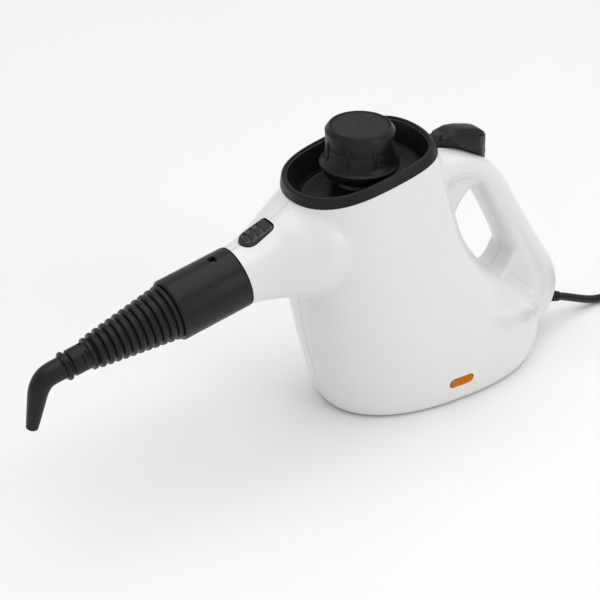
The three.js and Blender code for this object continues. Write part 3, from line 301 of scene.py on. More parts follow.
def rounded(profile, radius, steps=4, closed=False):
    """A profile with its corners turned into arcs of up to radius, or of each point's own third value."""
    points = [(p[0], p[1]) for p in profile]
    wanted = [p[2] if len(p) > 2 else radius for p in profile]
    count = len(points)
    out = []
    for i in range(count):
        if not closed and i in (0, count - 1):
            out.append(points[i])
            continue
        here = np.array(points[i])
        before = np.array(points[i - 1]) - here
        after = np.array(points[(i + 1) % count]) - here
        la, lb = np.linalg.norm(before), np.linalg.norm(after)
        if la < 1e-6 or lb < 1e-6 or wanted[i] <= 0:
            out.append(tuple(here))
            continue
        turn = np.arccos(np.clip(before @ after / la / lb, -1, 1))
        if turn > radians(172):
            out.append(tuple(here))
            continue
        reach = min(wanted[i] / np.tan(turn / 2), 0.46 * la, 0.46 * lb)
        a = here + before / la * reach
        b = here + after / lb * reach
        for k in range(steps + 1):
            t = k / steps
            out.append(tuple((1 - t) ** 2 * a + 2 * t * (1 - t) * here + t ** 2 * b))
    return out


def lathe(name, profile, material, matrix=None, sides=96, radius=0.5, sharp=38):
    """Turns a profile of (radius, height) about local Z. It closes on the axis or on itself."""
    on_axis = profile[0][0] < 1e-6 and profile[-1][0] < 1e-6
    points = rounded(profile, radius, closed=not on_axis)
    verts, faces = [], []
    rows = []
    for r, z in points:
        if r < 1e-6:
            rows.append([len(verts)])
            verts.append((0, 0, z))
            continue
        rows.append(list(range(len(verts), len(verts) + sides)))
        for i in range(sides):
            t = 2 * pi * i / sides
            verts.append((r * cos(t), r * sin(t), z))
    pairs = list(zip(rows, rows[1:]))
    if not on_axis:
        pairs.append((rows[-1], rows[0]))
    for a, b in pairs:
        for i in range(sides):
            j = (i + 1) % sides
            if len(a) == 1 and len(b) == 1:
                continue
            if len(a) == 1:
                faces.append((a[0], b[j], b[i]))
            elif len(b) == 1:
                faces.append((a[i], a[j], b[0]))
            else:
                faces.append((a[i], a[j], b[j], b[i]))
    return new_object(name, verts, faces, material, matrix, sharp)


def prism(name, outline, low, high, material="satin_black", matrix=None):
    """A flat outline in local X and Y, pulled from low to high along local Z."""
    rings = [[(x, y, z) for x, y in outline] for z in (low, high)]
    return loft(name, rings, material, matrix=matrix)


def slab(name, outline, half, material="satin_black"):
    """An outline in X and Z, as thick as half on each side of the middle."""
    return loft(name, [[(x, y, z) for x, z in outline] for y in (-half, half)], material)


def block(name, x0, x1, y0, y1, z0, z1, material="satin_black", matrix=None):
    return prism(name, [(x0, y0), (x1, y0), (x1, y1), (x0, y1)], z0, z1, material, matrix)


def catmull(rows, steps):
    """Rows of numbers, smoothed through their own values with steps between each two."""
    rows = [np.asarray(r, float) for r in rows]
    out = []
    for i in range(len(rows) - 1):
        p0 = rows[max(i - 1, 0)]
        p1, p2 = rows[i], rows[i + 1]
        p3 = rows[min(i + 2, len(rows) - 1)]
        for k in range(steps):
            t = k / steps
            out.append(0.5 * (2 * p1 + (p2 - p0) * t + (2 * p0 - 5 * p1 + 4 * p2 - p3) * t * t
                              + (3 * p1 - p0 - 3 * p2 + p3) * t ** 3))
    out.append(rows[-1])
    return out


def oval(a, b, power, count):
    t = 2 * pi * (np.arange(count) + 0.5) / count
    c, s = np.cos(t), np.sin(t)
    return np.stack([a * np.sign(c) * np.abs(c) ** (2 / power), b * np.sign(s) * np.abs(s) ** (2 / power)], 1)


def turn_y(angle):
    return Matrix.Rotation(angle, 4, "Y")


def place(x, z, angle=0.0):
    """A frame at a point in the cleaner's middle plane, in millimetres, turned about Y."""
    return Matrix.Translation((x, 0, z)) @ turn_y(angle)


# ---------- The cleaner's sizes, as in its CAD, in millimetres ----------
TRAY_AT = place(63.4, 202.9, radians(10.8))
NOZZLE_AT = place(167.1, 137.3, radians(11.1))
ALONG = NOZZLE_AT @ turn_y(pi / 2)
BUTTON_AT = place(151.2, 166.1, radians(21.7))
RELIEF_AT = place(-112.2, 28.2, -pi / 2 - radians(20))
PIVOT_AT = Matrix.Translation((-41.5, 0, 169.4)) @ Matrix.Rotation(pi / 2, 4, "X")
AXIS = place(64, 0)
WALL = 2.6
SEAM = 0.09  # half of the gap between the housing's halves
SKIN_VOXEL = 1.5
CAVITY_VOXEL = 2.2
BODY = [
    (0.8, 86, -88, 50.5), (4, 91, -94, 53.6), (14, 95.5, -98.5, 55.2), (32, 101, -99, 56.8),
    (54, 106.5, -84, 57.8), (78, 111.5, -53, 57.6), (98, 115.2, -35, 56.8), (125, 118.8, -18, 54.6),
    (155, 121.5, -8, 50),
]
NECK = [
    (64, 150, 36, 40, 0), (106, 150, 41, 42, 0), (124, 145.5, 35.5, 37, radians(4)),
    (140, 141.6, 29, 30, radians(8)), (154, 138.8, 24.6, 25, radians(11.1)),
    (167.1, 137.3, 22.2, 22.2, radians(11.1)), (180.2, 134.73, 20.4, 20.4, radians(11.1)),
]
HANDLE = [
    (34, 176, 20, 30), (10, 179, 16.5, 26), (-10, 177.5, 13, 22), (-27, 172.3, 10.2, 19.6),
    (-41, 163.5, 10.4, 18.6), (-52.5, 148, 11.4, 18), (-72.5, 113.5, 12.2, 17.6), (-87.5, 85, 14.6, 18),
    (-98, 62, 18.6, 19.5), (-99, 45, 22.5, 22), (-87, 31, 22, 26), (-66, 25, 19, 29),
]
CASE_SCREWS = [(136, 122), (-66, 128), (-98, 46)]
BASE_SCREWS = [(70, 24), (70, -24), (-58, 29), (-58, -29)]


def tray_ring(grow, height, count=160):
    t = 2 * pi * np.arange(count) / count
    across = 47 + grow + 1.4 * np.cos(t) + 7.5 * np.cos(2 * t)
    return np.stack([(55.4 + grow) * np.cos(t) + 3.8 * np.cos(2 * t), across * np.sin(t),
                     np.full(count, height)], 1)


# ---------- Housing ----------
def body_piece(inset):
    count = 160
    t = 2 * pi * np.arange(count) / count
    c, s = np.cos(t), np.sin(t)
    shape = np.stack([np.sign(c) * np.abs(c) ** (2 / 2.3), np.sign(s) * np.abs(s) ** (2 / 2.3)], 1)
    rings = []
    if inset:
        z, front, rear, half = BODY[0]
        rings.append(level_ring(shape, -6, front, rear, half, inset))
    for z, front, rear, half in BODY:
        rings.append(level_ring(shape, z, front, rear, half, inset))
    tilt = np.array(TRAY_AT)
    for grow, height in [(2.0 - inset, -7.4), (2.0 - inset, 16)]:
        ring = tray_ring(grow, height, count)
        rings.append(ring @ tilt[:3, :3].T + tilt[:3, 3])
    start = 1 if inset else 0
    smoothed = rings[:start] + catmull(rings[start:-1], 6) + rings[-1:]
    return loft("body", smoothed, "white_abs")


def level_ring(shape, z, front, rear, half, inset):
    long = (front - rear) / 2 - inset
    return np.stack([(front + rear) / 2 + long * shape[:, 0], (half - inset) * shape[:, 1],
                     np.full(len(shape), z)], 1)


def cross_ring(x, z, up, side, tilt, power, count=96):
    corners = oval(side, up, power, count)
    return np.stack([x + corners[:, 1] * sin(tilt), corners[:, 0], z + corners[:, 1] * cos(tilt)], 1)


def neck_piece(inset):
    rows = catmull(NECK, 6)
    rings = [cross_ring(x, z, up - inset, side - inset, tilt, 2) for x, z, up, side, tilt in rows]
    return loft("neck", rings, "white_abs")


def handle_piece(inset):
    rows = catmull(HANDLE, 6)
    rings = []
    for i, (x, z, up, side) in enumerate(rows):
        rings.append(cross_ring(x, z, up - inset, side - inset, tilt_at(rows, i), 2.7))
    return loft("handle", rings, "white_abs")


def tilt_at(rows, i):
    """How far a section of the handle leans, so that it lies square to the handle's line."""
    before, after = rows[max(i - 1, 0)], rows[min(i + 1, len(rows) - 1)]
    return atan2(before[1] - after[1], after[0] - before[0])


# Webs in two corners of the hand hole: the edge that shows, what lies behind it, half width and inward lean.
WEBS = [
    (
        [(-36, 162), (-26, 156.5), (-19, 150), (-12.5, 139), (-10, 125)],
        [(6, 125), (6, 170), (-20, 172)], 16, (0.77, 0.64),
    ),
    (
        [(-74, 92), (-70.5, 84), (-65.5, 76), (-58.5, 69.5), (-50, 66)],
        [(-60, 48), (-90, 52), (-86, 80)], 15, (-0.7, -0.72),
    ),
]


def web_pieces(inset):
    for edge, behind, half, lean in WEBS:
        outline = [(x + lean[0] * inset, z + lean[1] * inset) for x, z in edge] + behind
        yield slab("web", outline, half - inset, "white_abs")


def skin_pieces(inset):
    return [body_piece(inset), neck_piece(inset), handle_piece(inset), *web_pieces(inset)]


def melted(pieces, voxel, passes):
    """One smooth skin round several overlapping pieces."""
    bm = bmesh.new()
    for piece in pieces:
        bm.from_mesh(piece.data)
        bpy.data.objects.remove(piece)
    mesh = bpy.data.meshes.new("melted")
    bm.to_mesh(mesh)
    bm.free()
    mesh.materials.append(MATERIALS["white_abs"])
    obj = bpy.data.objects.new("melted", mesh)
    bpy.context.scene.collection.objects.link(obj)
    remesh = obj.modifiers.new("skin", "REMESH")
    remesh.mode = "VOXEL"
    remesh.voxel_size = voxel * MM
    soften = obj.modifiers.new("soften", "SMOOTH")
    soften.factor = 0.5
    soften.iterations = passes
    return baked(obj)


def capsule_outline(long, high, corner_steps=14):
    """A slot's outline with round ends, long in X."""
    r = high / 2
    half = long / 2 - r
    points = [(half + r * cos(t), r * sin(t)) for t in np.linspace(-pi / 2, pi / 2, corner_steps)]
    return points + [(-x, -y) for x, y in points]


def button_outline(grow):
    """Round at the front, with two smaller corners at the rear."""
    long, half, corner = 13 + grow, 8 + grow, 4.2
    front = [(long - half + half * cos(t), half * sin(t)) for t in np.linspace(-pi / 2, pi / 2, 24)]
    back = [(corner - long + corner * cos(t), half - corner + corner * sin(t))
            for t in np.linspace(pi / 2, pi, 8)]
    other = [(corner - long + corner * cos(t), corner - half + corner * sin(t))
             for t in np.linspace(pi, 3 * pi / 2, 8)]
    return front + back + other


LENS_AT = Matrix.Translation((5.5, 0, 21)) @ Matrix.Rotation(-pi / 2, 4, "X") @ Matrix.Rotation(pi, 4, "Z")


def housing_cuts():
    """The tools that open the housing's skin."""
    reach = 160
    yield block("cut", -reach, reach, -reach, reach, -7.7, reach, matrix=TRAY_AT)
    yield block("cut", 0, reach, -reach, reach, -reach, reach, matrix=NOZZLE_AT)
    slot = [(-50.4, 165.6), (-50.4, 190), (13.4, 222), (13.4, 191), (-22, 172.5), (-46, 165.6)]
    yield slab("cut", slot, 6.7, "white_abs")
    yield prism("cut", button_outline(0.5), -10, 12, matrix=BUTTON_AT)
    base = level_ring(oval(1, 1, 2.3, 96), 0, 86, -88, 50.5, WALL)
    yield loft("cut", [base + (0, 0, z) for z in (-5, 3.5)], "white_abs")
    yield prism("cut", capsule_outline(22.1, 8.2), 40, 80, matrix=LENS_AT)
    yield lathe("cut", [(0, -25), (4.9, -25), (4.9, 14), (0, 14)], "white_abs", RELIEF_AT, 48, 0)
    for x, z in CASE_SCREWS:
        hole = [(0, -3.3), (3.4, -3.3), (3.4, 30), (0, 30)]
        yield lathe("cut", hole, "white_abs", case_screw_at(x, z), 40, 0)


def case_screw_at(x, z):
    """Where a case screw meets the right side, from its CAD node, with Z out of the side."""
    index = CASE_SCREWS.index((x, z)) + 1
    low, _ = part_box("case_screw_%d" % index)
    return Matrix.Translation((x, low[1] / MM - 3, z)) @ Matrix.Rotation(pi / 2, 4, "X")


def make_housing():
    outer = melted(skin_pieces(0), SKIN_VOXEL, 18)
    inner = melted(skin_pieces(WALL), CAVITY_VOXEL, 4)
    bosses = []
    for x, z in CASE_SCREWS:
        boss = lathe("boss", [(0, -60), (4.6, -60), (4.6, 60), (0, 60)], "white_abs",
                     Matrix.Translation((x, 0, z)) @ Matrix.Rotation(pi / 2, 4, "X"), 40, 0)
        bosses.append(boolean(boss, outer, "INTERSECT", keep_tool=True))
    boolean(outer, inner)
    for boss in bosses:
        boolean(outer, boss, "UNION")
    for tool in housing_cuts():
        boolean(outer, tool)
    boolean(outer, block("cut", -200, 250, -SEAM, SEAM, -20, 260))
    outer.name = "housing_shell"
    smooth(outer, 42)
    dress(outer, "housing", "white_abs", "left_housing", "right_housing")


def dress(obj, body, material_slot, *nodes):
    """Ties a finished piece to its body and hides the CAD nodes that it stands for."""
    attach(obj, body)
    if nodes:
        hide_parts(*nodes)
    return obj


# ---------- Tray ----------
def make_tray():
    hole = np.array(TRAY_AT.inverted() @ Vector((64, 0, 184.5)))
    count = 160
    t = 2 * pi * np.arange(count) / count
    bore = 18.3
    circle = np.stack([hole[0] + bore * np.cos(t), bore * np.sin(t), np.zeros(count)], 1)

    def towards_hole(share, height):
        ring = tray_ring(-12, height, count) * (1 - share) + (circle + (0, 0, height)) * share
        return ring

    section = [(2.2, -7.4, 0.3), (2.2, -6.9, 0.4), (0.35, -0.9, 0.9), (-0.6, 0, 0.7), (-2.2, 0, 0.6),
               (-2.5, -1.1, 0.4), (-3.6, -1.5, 0.5), (-4.4, -3.4, 1.0), (-7.2, -10.0, 3), (-9.4, -16.4, 3),
               (-12, -19, 2.4)]
    rings = [tray_ring(g, h, count) for g, h in rounded([*section, (-16, -19.2, 0)], 0.5, 5)[:-1]]
    rings += [towards_hole(s, -19.1 - 0.2 * s) for s in (0.25, 0.5, 0.75, 0.95)]
    rings += [towards_hole(1, h) for h in (-19.4, -20.4, -21.4)]
    under = [tray_ring(g, h, count) for g, h in [(-9.4, -21.4), (-6.6, -13.7), (-3.5, -7.4), (-2.2, -7.4)]]
    tray = loft("tray_bowl", rings + under, "satin_black", closed=True, matrix=TRAY_AT, sharp=50)
    dress(tray, "housing", "satin_black", "top_tray")


# ---------- Safety cap ----------
def make_cap():
    profile = [
        (0, 221.5), (21.4, 221.5), (21.4, 202.2), (26.05, 199.6), (26.05, 196.9, 0.3), (28.5, 196.9, 0.5),
        (28.6, 198.5, 0.7), (27.2, 199.8, 1.2), (25.7, 202.4, 3), (24.7, 206.5, 5), (24.2, 212, 6),
        (24.8, 223.2, 0.5), (22.1, 226.8, 0.5), (20.8, 226.8, 0.4), (20.6, 225.1, 0.2), (0, 225.1),
    ]
    knob = lathe("cap_grip", profile, "satin_black", AXIS, 120, 0.5)
    for i in range(8):
        rib = rib_piece()
        turn = Matrix.Rotation(2 * pi * (i + 0.8) / 8, 4, "Z")
        rib.data.transform(Matrix.Translation((0.064, 0, 0)) @ turn)
        boolean(knob, rib, "UNION")
    smooth(knob, 35)
    dress(knob, "cap_knob", "satin_black", "cap_knob")
    disc = lathe("cap_top_disc", [(0, 225.3), (20.3, 225.3, 0.2), (20.3, 226.55, 0.35), (19.4, 226.65, 0.3),
                                  (19.0, 226.45, 0.4), (0, 226.5)], "matt_black", AXIS, 120, 0.3)
    dress(disc, "cap_knob", "satin_black", "cap_disc")
    tier = lathe("cap_stem", [
        (3, 170), (12.2, 170), (13, 171.2), *thread(), (13, 188.5), (14, 190, 0.4), (24.6, 190, 0.8),
        (25.4, 191, 0.6), (25.4, 194.8, 0.8), (24.5, 195.6, 0.6), (10, 195.6), (10, 210), (6, 210), (6, 198),
        (3, 198),
    ], "satin_black", AXIS, 96, 0.4)
    dress(tier, "cap_plug", "satin_black", "cap_plug")


def thread():
    points = []
    for i in range(4):
        low = 172 + 3.6 * i
        points += [(13, low, 0.3), (13.75, low + 1.3, 0.4), (13.75, low + 2.0, 0.4), (13, low + 3.3, 0.3)]
    return points


def rib_piece():
    """One upright grip rib of the cap, thicker at its middle than at its ends."""
    rings = []
    for z, out, half in [(200.6, 24.4, 0.5), (202, 25.9, 1.0), (204.5, 25.8, 1.15), (209, 25.4, 1.15),
                         (213.5, 25.4, 1.15), (216.8, 25.5, 1.0), (218.4, 24.3, 0.5)]:
        rings.append([(22.5, -half, z), (out - 0.6, -half, z), (out - 0.15, -0.6 * half, z), (out, 0, z),
                      (out - 0.15, 0.6 * half, z), (out - 0.6, half, z), (22.5, half, z)])
    return loft("rib", rings, "satin_black", sharp=60)


# ---------- Nozzle ----------
def make_nozzle():
    collar = lathe("collar_sleeve", [
        (19, 0.5, 0.3), (21.8, 0.5, 0.3), (22.5, 1.3, 0.5), (22.5, 53.8, 0.7), (21.6, 54.9, 0.5),
        (19, 54.9, 0.3), (19, 29), (4.4, 29), (4.4, 25), (19, 25),
    ], "satin_black", ALONG, 144, 0.4)
    window = block("cut", 12.3, 17.3, -3.5, 3.5, 17, 26, matrix=NOZZLE_AT)
    boolean(collar, window)
    smooth(collar, 35)
    dress(collar, "nozzle", "satin_black", "extension_collar")
    make_cone()
    make_tip()
    make_spout()


CONE_FROM, PITCH, RIBS = 55.4, 5.6, 11
CONE_TO = CONE_FROM + RIBS * PITCH
SOCKET_END = CONE_TO + 3.2 + 13.5


def cone_ribs():
    points = []
    for i in range(RIBS):
        s = CONE_FROM + i * PITCH
        r = 20.6 + (12.2 - 20.6) * i / RIBS
        low = r - 2.8
        points += [(low, s, 0.5), (r - 0.35, s + 0.35, 0.9), (r - 0.1, s + 1.9, 0.5), (r - 0.5, s + 3.5, 1.0),
                   (low - 0.3, s + 3.9, 0.6)]
    return points


# The slots round the tip's socket: their turn in degrees, where they start and end, and their half width.
SOCKET_SLOTS = [(25, 4.6, 7.0, 3.4), (-48, 4.6, 6.6, 2.6), (-62, 8.4, 10.6, 3.6), (115, 4.6, 7.0, 3.4),
                (205, 4.6, 7.0, 3.4), (-155, 8.4, 10.6, 3.6)]


def make_cone():
    cone = lathe("ribbed_sleeve", [
        (16.5, 29.3), (18.7, 29.3), (18.7, 55.2), *cone_ribs(), (11.0, CONE_TO + 0.2),
        (11.6, CONE_TO + 0.8, 0.5), (11.6, CONE_TO + 3.0, 0.6), (9.75, CONE_TO + 3.5, 0.4),
        (9.6, SOCKET_END - 1, 0.7), (8.7, SOCKET_END, 0.4), (4.4, SOCKET_END),
        (4.4, CONE_TO), (7.8, CONE_TO - 2), (16.5, CONE_FROM),
    ], "satin_black", ALONG, 120, 0.4)
    for turn, s0, s1, half in SOCKET_SLOTS:
        spin = NOZZLE_AT @ Matrix.Rotation(radians(turn), 4, "X")
        boolean(cone, block("cut", CONE_TO + s0, CONE_TO + s1, -half, half, 8.3, 14, matrix=spin))
    smooth(cone, 35)
    dress(cone, "nozzle", "satin_black", "ribbed_cone")
    seal = lathe("tip_ring_seal", [(4.1, SOCKET_END + 0.3), (8.2, SOCKET_END + 0.3), (8.2, SOCKET_END + 1.4),
                                   (4.1, SOCKET_END + 1.4)], "black_rubber", ALONG, 72, 0.25)
    dress(seal, "tip_seal", "black_rubber", "tip_seal")


TIP_PATH = [(3, 0, 8), (12, 0, 7.9), (17.5, -1.2, 7.7), (21.8, -4.4, 7.4), (25.4, -9.6, 7), (29.8, -19, 6),
            (36.6, -33.6, 4.3)]


def make_tip():
    start = SOCKET_END + 1.7
    rows = catmull(TIP_PATH, 8)
    rings = []
    for i, (s, up, r) in enumerate(rows):
        before, after = rows[max(i - 1, 0)], rows[min(i + 1, len(rows) - 1)]
        lean = atan2(after[1] - before[1], after[0] - before[0])
        t = 2 * pi * np.arange(64) / 64
        y, n = r * np.cos(t), r * np.sin(t)
        rings.append(np.stack([start + s - n * sin(lean), y, up + n * cos(lean)], 1))
    end, last = np.array(TIP_PATH[-1]), np.array(TIP_PATH[-2])
    lean = atan2(last[1] - end[1], end[0] - last[0])
    centre = np.array([start + end[0], 0, end[1]])
    for k, share in enumerate((0.93, 0.8)):
        offset = 0.45 * (k + 1) * np.array([cos(lean), 0, -sin(lean)])
        rings.append(centre + (rings[len(rows) - 1] - centre) * share + offset)
    tip = loft("bent_nose", rings, "satin_black", matrix=NOZZLE_AT, sharp=40)
    bore_at = NOZZLE_AT @ Matrix.Translation(tuple(centre)) @ turn_y(lean) @ turn_y(pi / 2)
    bore = [(0, -10), (1.8, -10), (1.8, -0.2), (2.4, 3), (0, 3)]
    boolean(tip, lathe("cut", bore, "satin_black", bore_at, 32, 0))
    ring = lathe("ring", [(0, start), (9.4, start, 0.4), (10.4, start + 1.0, 0.9), (10.4, start + 2.6, 0.9),
                          (9.3, start + 3.6, 0.5), (0, start + 3.6)], "satin_black", ALONG, 96, 0.4)
    boolean(tip, ring, "UNION")
    for turn in (150, -30):
        lug = Matrix.Rotation(radians(turn), 4, "X")
        shape = lathe("lug", [(0, 0), (2.6, 0, 0.3), (2.6, 11.6, 1.2), (0, 11.8)], "satin_black",
                      NOZZLE_AT @ lug @ Matrix.Translation((start + 1.9, 0, 0)), 32, 0.5)
        boolean(tip, shape, "UNION")
    smooth(tip, 40)
    dress(tip, "bent_tip", "satin_black", "bent_tip")


def make_spout():
    spout = lathe("spout_tube", [
        (9, -3.5), (19.2, -3.5), (19.2, -0.5), (18.4, -0.5), (18.4, 19), (17.4, 20), (9, 20),
    ], "grey_plastic", ALONG, 96, 0.4)
    boolean(spout, block("cut", -5, 21, -5.1, 5.1, 11.4, 21, matrix=NOZZLE_AT))
    boolean(spout, block("cut", -5, 0.5, -8.1, 8.1, 11.4, 21, matrix=NOZZLE_AT))
    smooth(spout, 35)
    dress(spout, "housing", "grey_plastic", "nozzle_spout")


# ---------- Button, trigger and lens ----------
STEP_HALF = 6.3  # half the width of the steps in the button


def make_button():
    def ring(grow, z):
        return [(x, y, z) for x, y in button_outline(grow)]

    rings = [ring(0, -6.4), ring(0, -1), ring(0, 0.2), ring(-0.15, 0.9), ring(-0.6, 1.35), ring(-1.3, 1.58)]
    button = loft("button_pad", rings, "gloss_black", matrix=BUTTON_AT, sharp=50)
    for i in (-1, 0, 1):
        x = -1.0 + i * 5.6
        cut = [(x, 1.9), (x + 0.3, 0.75), (x + 3.8, 1.35), (x + 4.4, 1.9)]
        rings = [[(u, y, v) for u, v in cut] for y in (-STEP_HALF, STEP_HALF)]
        boolean(button, loft("cut", rings, "gloss_black", matrix=BUTTON_AT))
    bevelled(button, 0.18, 2, 30)
    baked(button)
    smooth(button, 40)
    dress(button, "button", "gloss_black", "release_button")


TRIGGER_TOP = [(-4, 199.8), (-8.5, 202.8), (-13.5, 203.8), (-22, 202.8), (-29, 201), (-35, 199.4),
               (-40, 197.4), (-43.4, 194.8)]
TRIGGER_TRAVEL = radians(4.5)
# How far the trigger's upper surface lies below its middle line, across its width.
TRIGGER_CROWN = [(-11, 6.0), (-10.6, 5.2), (-5.2, 0.25), (0, 0), (5.2, 0.25), (10.6, 5.2), (11, 6.0)]


def trigger_plan():
    """The trigger's outline from above: half an ellipse at the rear, and cut corners at the front."""
    rear = [(-30 + 17.4 * cos(t), 11 * sin(t)) for t in np.linspace(pi / 2, 3 * pi / 2, 28)]
    corner = [(-20, 11), (-12, 10.8), (-6.5, 8.6), (-3.5, 6)]
    return rear + [(x, -y) for x, y in corner] + corner[::-1]


def make_trigger():
    under = trigger_underside()
    rings = []
    for y, drop in TRIGGER_CROWN:
        top = [(x, z - drop * (1 if i else 0.5)) for i, (x, z) in enumerate(TRIGGER_TOP)]
        outline = top + [(-45.4, 183 - 0.4 * drop), (-47.2, 173)] + under
        rings.append([(x, y, z) for x, z in outline])
    lever = loft("trigger_lever", rings, "satin_black")
    boolean(lever, prism("plan", trigger_plan(), 160, 210), "INTERSECT")
    bevelled(lever, 0.6, 3, 28)
    baked(lever)
    core = [(-45.8, 180), (-45.4, 170.4), (-43.5, 166.4), (-39, 166.4), (-30, 170.9), (-12, 178), (2, 187.9),
            (9.4, 187.9), (9.4, 190), (4, 192), (2.4, 197.6), (-8, 198), (-20, 198)]
    boolean(lever, slab("core", core, 5.2), "UNION")
    nose = [(-16, 3.0, 203.2), (-6, 4.4, 202.0), (0.5, 4.2, 200.6), (3.6, 3.4, 199.4)]
    rings = []
    for x, half, top in nose:
        rings.append([(x, -half, 197.2), (x, half, 197.2), (x, half, top - 0.8), (x, half - 0.8, top),
                      (x, 0.8 - half, top), (x, -half, top - 0.8)])
    boolean(lever, loft("nose", rings, "satin_black"), "UNION")
    boolean(lever, lathe("cut", [(0, -20), (1.8, -20), (1.8, 20), (0, 20)], "satin_black", PIVOT_AT, 32, 0))
    smooth(lever, 32)
    dress(lever, "trigger", "satin_black", "trigger")


def trigger_underside():
    """The trigger's lower edge, which leaves room over the handle for its travel."""
    rows = []
    for i, (x, z, up, _) in enumerate(HANDLE):
        tilt = tilt_at(HANDLE, i)
        rows.append((x - up * sin(tilt), z - up * cos(tilt)))
    points = []
    for x in (-44, -37, -31, -22, -13, -5):
        for a, b in zip(rows, rows[1:]):
            if b[0] <= x <= a[0]:
                z = a[1] + (b[1] - a[1]) * (a[0] - x) / (a[0] - b[0])
                lift = max(x + 41.5, 0) * np.tan(TRIGGER_TRAVEL) + 1.1 + max(x + 20, 0) * 0.22
                points.append((x, z + lift))
                break
    return points


def make_lens():
    outline = capsule_outline(21.5, 7.6)

    def ring(shrink, out):
        return [(x * (1 - shrink / 10.7), y * (1 - shrink / 3.8), out) for x, y in outline]

    wide = capsule_outline(24.3, 10.4)
    rings = [[(x, y, 49.5) for x, y in wide], [(x, y, 51.9) for x, y in wide], ring(0, 51.9), ring(0, 55.4),
             ring(0.25, 55.9), ring(0.8, 56.3), ring(1.7, 56.5), ring(2.8, 56.55)]
    lens = loft("lamp_window", rings, "amber_lens", matrix=LENS_AT, sharp=50)
    dress(lens, "housing", "amber_lens", "indicator_lens")


# ---------- Cord ----------
CORD_R = 3.3
CORD_POINTS = [
    (-136, 0, 19.5), (-142, 0.1, 17.2), (-150, 0.2, 13.7), (-158, 0.4, 10.2),
    (-165, 0.7, 7.4), (-172, 1.1, 5.2), (-180, 1.6, 3.9), (-189, 2.3, 3.45),
    (-198, 3.1, 3.4), (-207, 3.9, 3.4), (-216, 4.7, 3.7), (-224, 5.2, 4.2), (-231, 5.4, 4.6),
]
COIL_AT = (-237.0, 58.5)


def coil_points():
    """Turns from the outside in on the floor, then back out on top of them."""
    radii = [46.2, 39.6, 33.0, 26.4]
    low, high = 4.6, 11.2
    per_turn = 36
    spiral = [(r, low) for r in radii] + [(r, high) for r in reversed(radii)]
    total = len(spiral) * per_turn - per_turn // 2
    points = []
    for i in range(total + 1):
        at = i / per_turn
        k = min(int(at), len(spiral) - 1)
        f = at - k
        here = spiral[k]
        nxt = spiral[min(k + 1, len(spiral) - 1)]
        ease = max(0.0, (f - 0.72) / 0.28)
        ease = ease * ease * (3 - 2 * ease)
        r = here[0] + (nxt[0] - here[0]) * ease
        z = here[1] + (nxt[1] - here[1]) * ease
        angle = -pi / 2 - 2 * pi * at
        points.append((COIL_AT[0] + r * cos(angle), COIL_AT[1] + r * sin(angle), z))
    return points


def make_cord():
    y_out = COIL_AT[1] + 46.2
    tail = [(-226.5, y_out + 0.6, 11.4), (-219, y_out + 4, 14.4), (-212, y_out + 9, 17.6),
            (-206, y_out + 10.9, 18.8), (-203.9, y_out + 11, 18.9)]
    route = [(-135.2, 0, 19.8)] + CORD_POINTS[1:] + coil_points() + tail
    spacing = [np.array(p) * MM for p in route]
    curve = bpy.data.curves.new("mains_cord", "CURVE")
    curve.dimensions = "3D"
    curve.bevel_depth = CORD_R * MM
    curve.bevel_resolution = 6
    curve.use_fill_caps = True
    spline = curve.splines.new("POLY")
    fine = catmull(spacing, 3)
    spline.points.add(len(fine) - 1)
    for point, at in zip(spline.points, fine):
        point.co = (*at, 1)
    curve.materials.append(MATERIALS["black_rubber"])
    cord = bpy.data.objects.new("mains_cord", curve)
    bpy.context.scene.collection.objects.link(cord)
    dress(cord, "housing", "black_rubber", "cord", "cord_coil", "plug_lead")
    length = sum(float(np.linalg.norm(b - a)) for a, b in zip(fine, fine[1:]))
    return cord, length, fine[0]


# ---------- Screws, strain relief and plug ----------
def make_screw(name, at, face, length):
    """A pan-head screw with a cross in it; its face looks along local Z."""
    profile = [(0, face - length), (1.2, face - length + 1.5), (1.45, face - length + 2.5)]
    z = face - length + 3
    while z < face - 3:
        profile += [(1.5, z, 0), (1.15, z + 0.45, 0), (1.5, z + 0.9, 0)]
        z += 0.9
    profile += [(1.4, face - 1.6), (3, face - 1.6, 0.2), (3, face - 0.6, 0.6), (2.3, face, 0.6), (0, face)]
    screw = lathe(name, profile, "steel", at, 36, 0.3)
    for turn in (0, pi / 2):
        boolean(screw, block("cut", -1.7, 1.7, -0.35, 0.35, face - 1, face + 1,
                             matrix=at @ Matrix.Rotation(turn + 0.4, 4, "Z")))
    smooth(screw, 35)
    dress(screw, "housing", "steel", name)


def make_screws():
    for i, (x, y) in enumerate(BASE_SCREWS):
        at = Matrix.Translation((x, y, 0)) @ Matrix.Rotation(pi, 4, "X")
        make_screw("base_screw_%d" % (i + 1), at, -0.1, 13.4)
    for i, (x, z) in enumerate(CASE_SCREWS):
        low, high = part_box("case_screw_%d" % (i + 1))
        make_screw("case_screw_%d" % (i + 1), case_screw_at(x, z), -3, (high[1] - low[1]) / MM - 0.2)


def make_relief():
    profile = [(0, -10), (6.8, -10), (6.8, -7), (4.6, -7), (4.6, 2), (5.6, 2, 0.3), (5.6, 3.6, 0.4)]
    for i in range(6):
        s = 4.4 + 3.2 * i
        r = 5.35 - 1.3 * i / 6
        profile += [(r - 0.9, s, 0.3), (r - 1.0, s + 0.9, 0.3), (r, s + 1.3, 0.35), (r - 0.15, s + 3.0, 0.35)]
    profile += [(3.9, 24.4, 0.3), (3.5, 25, 0.2), (0, 25)]
    relief = lathe("cord_relief", profile, "black_rubber", RELIEF_AT, 64, 0.3)
    dress(relief, "housing", "black_rubber", "strain_relief")


PLUG_AT = Matrix.Translation((-203.7, 115.7, 18.9)) @ turn_y(pi / 2)


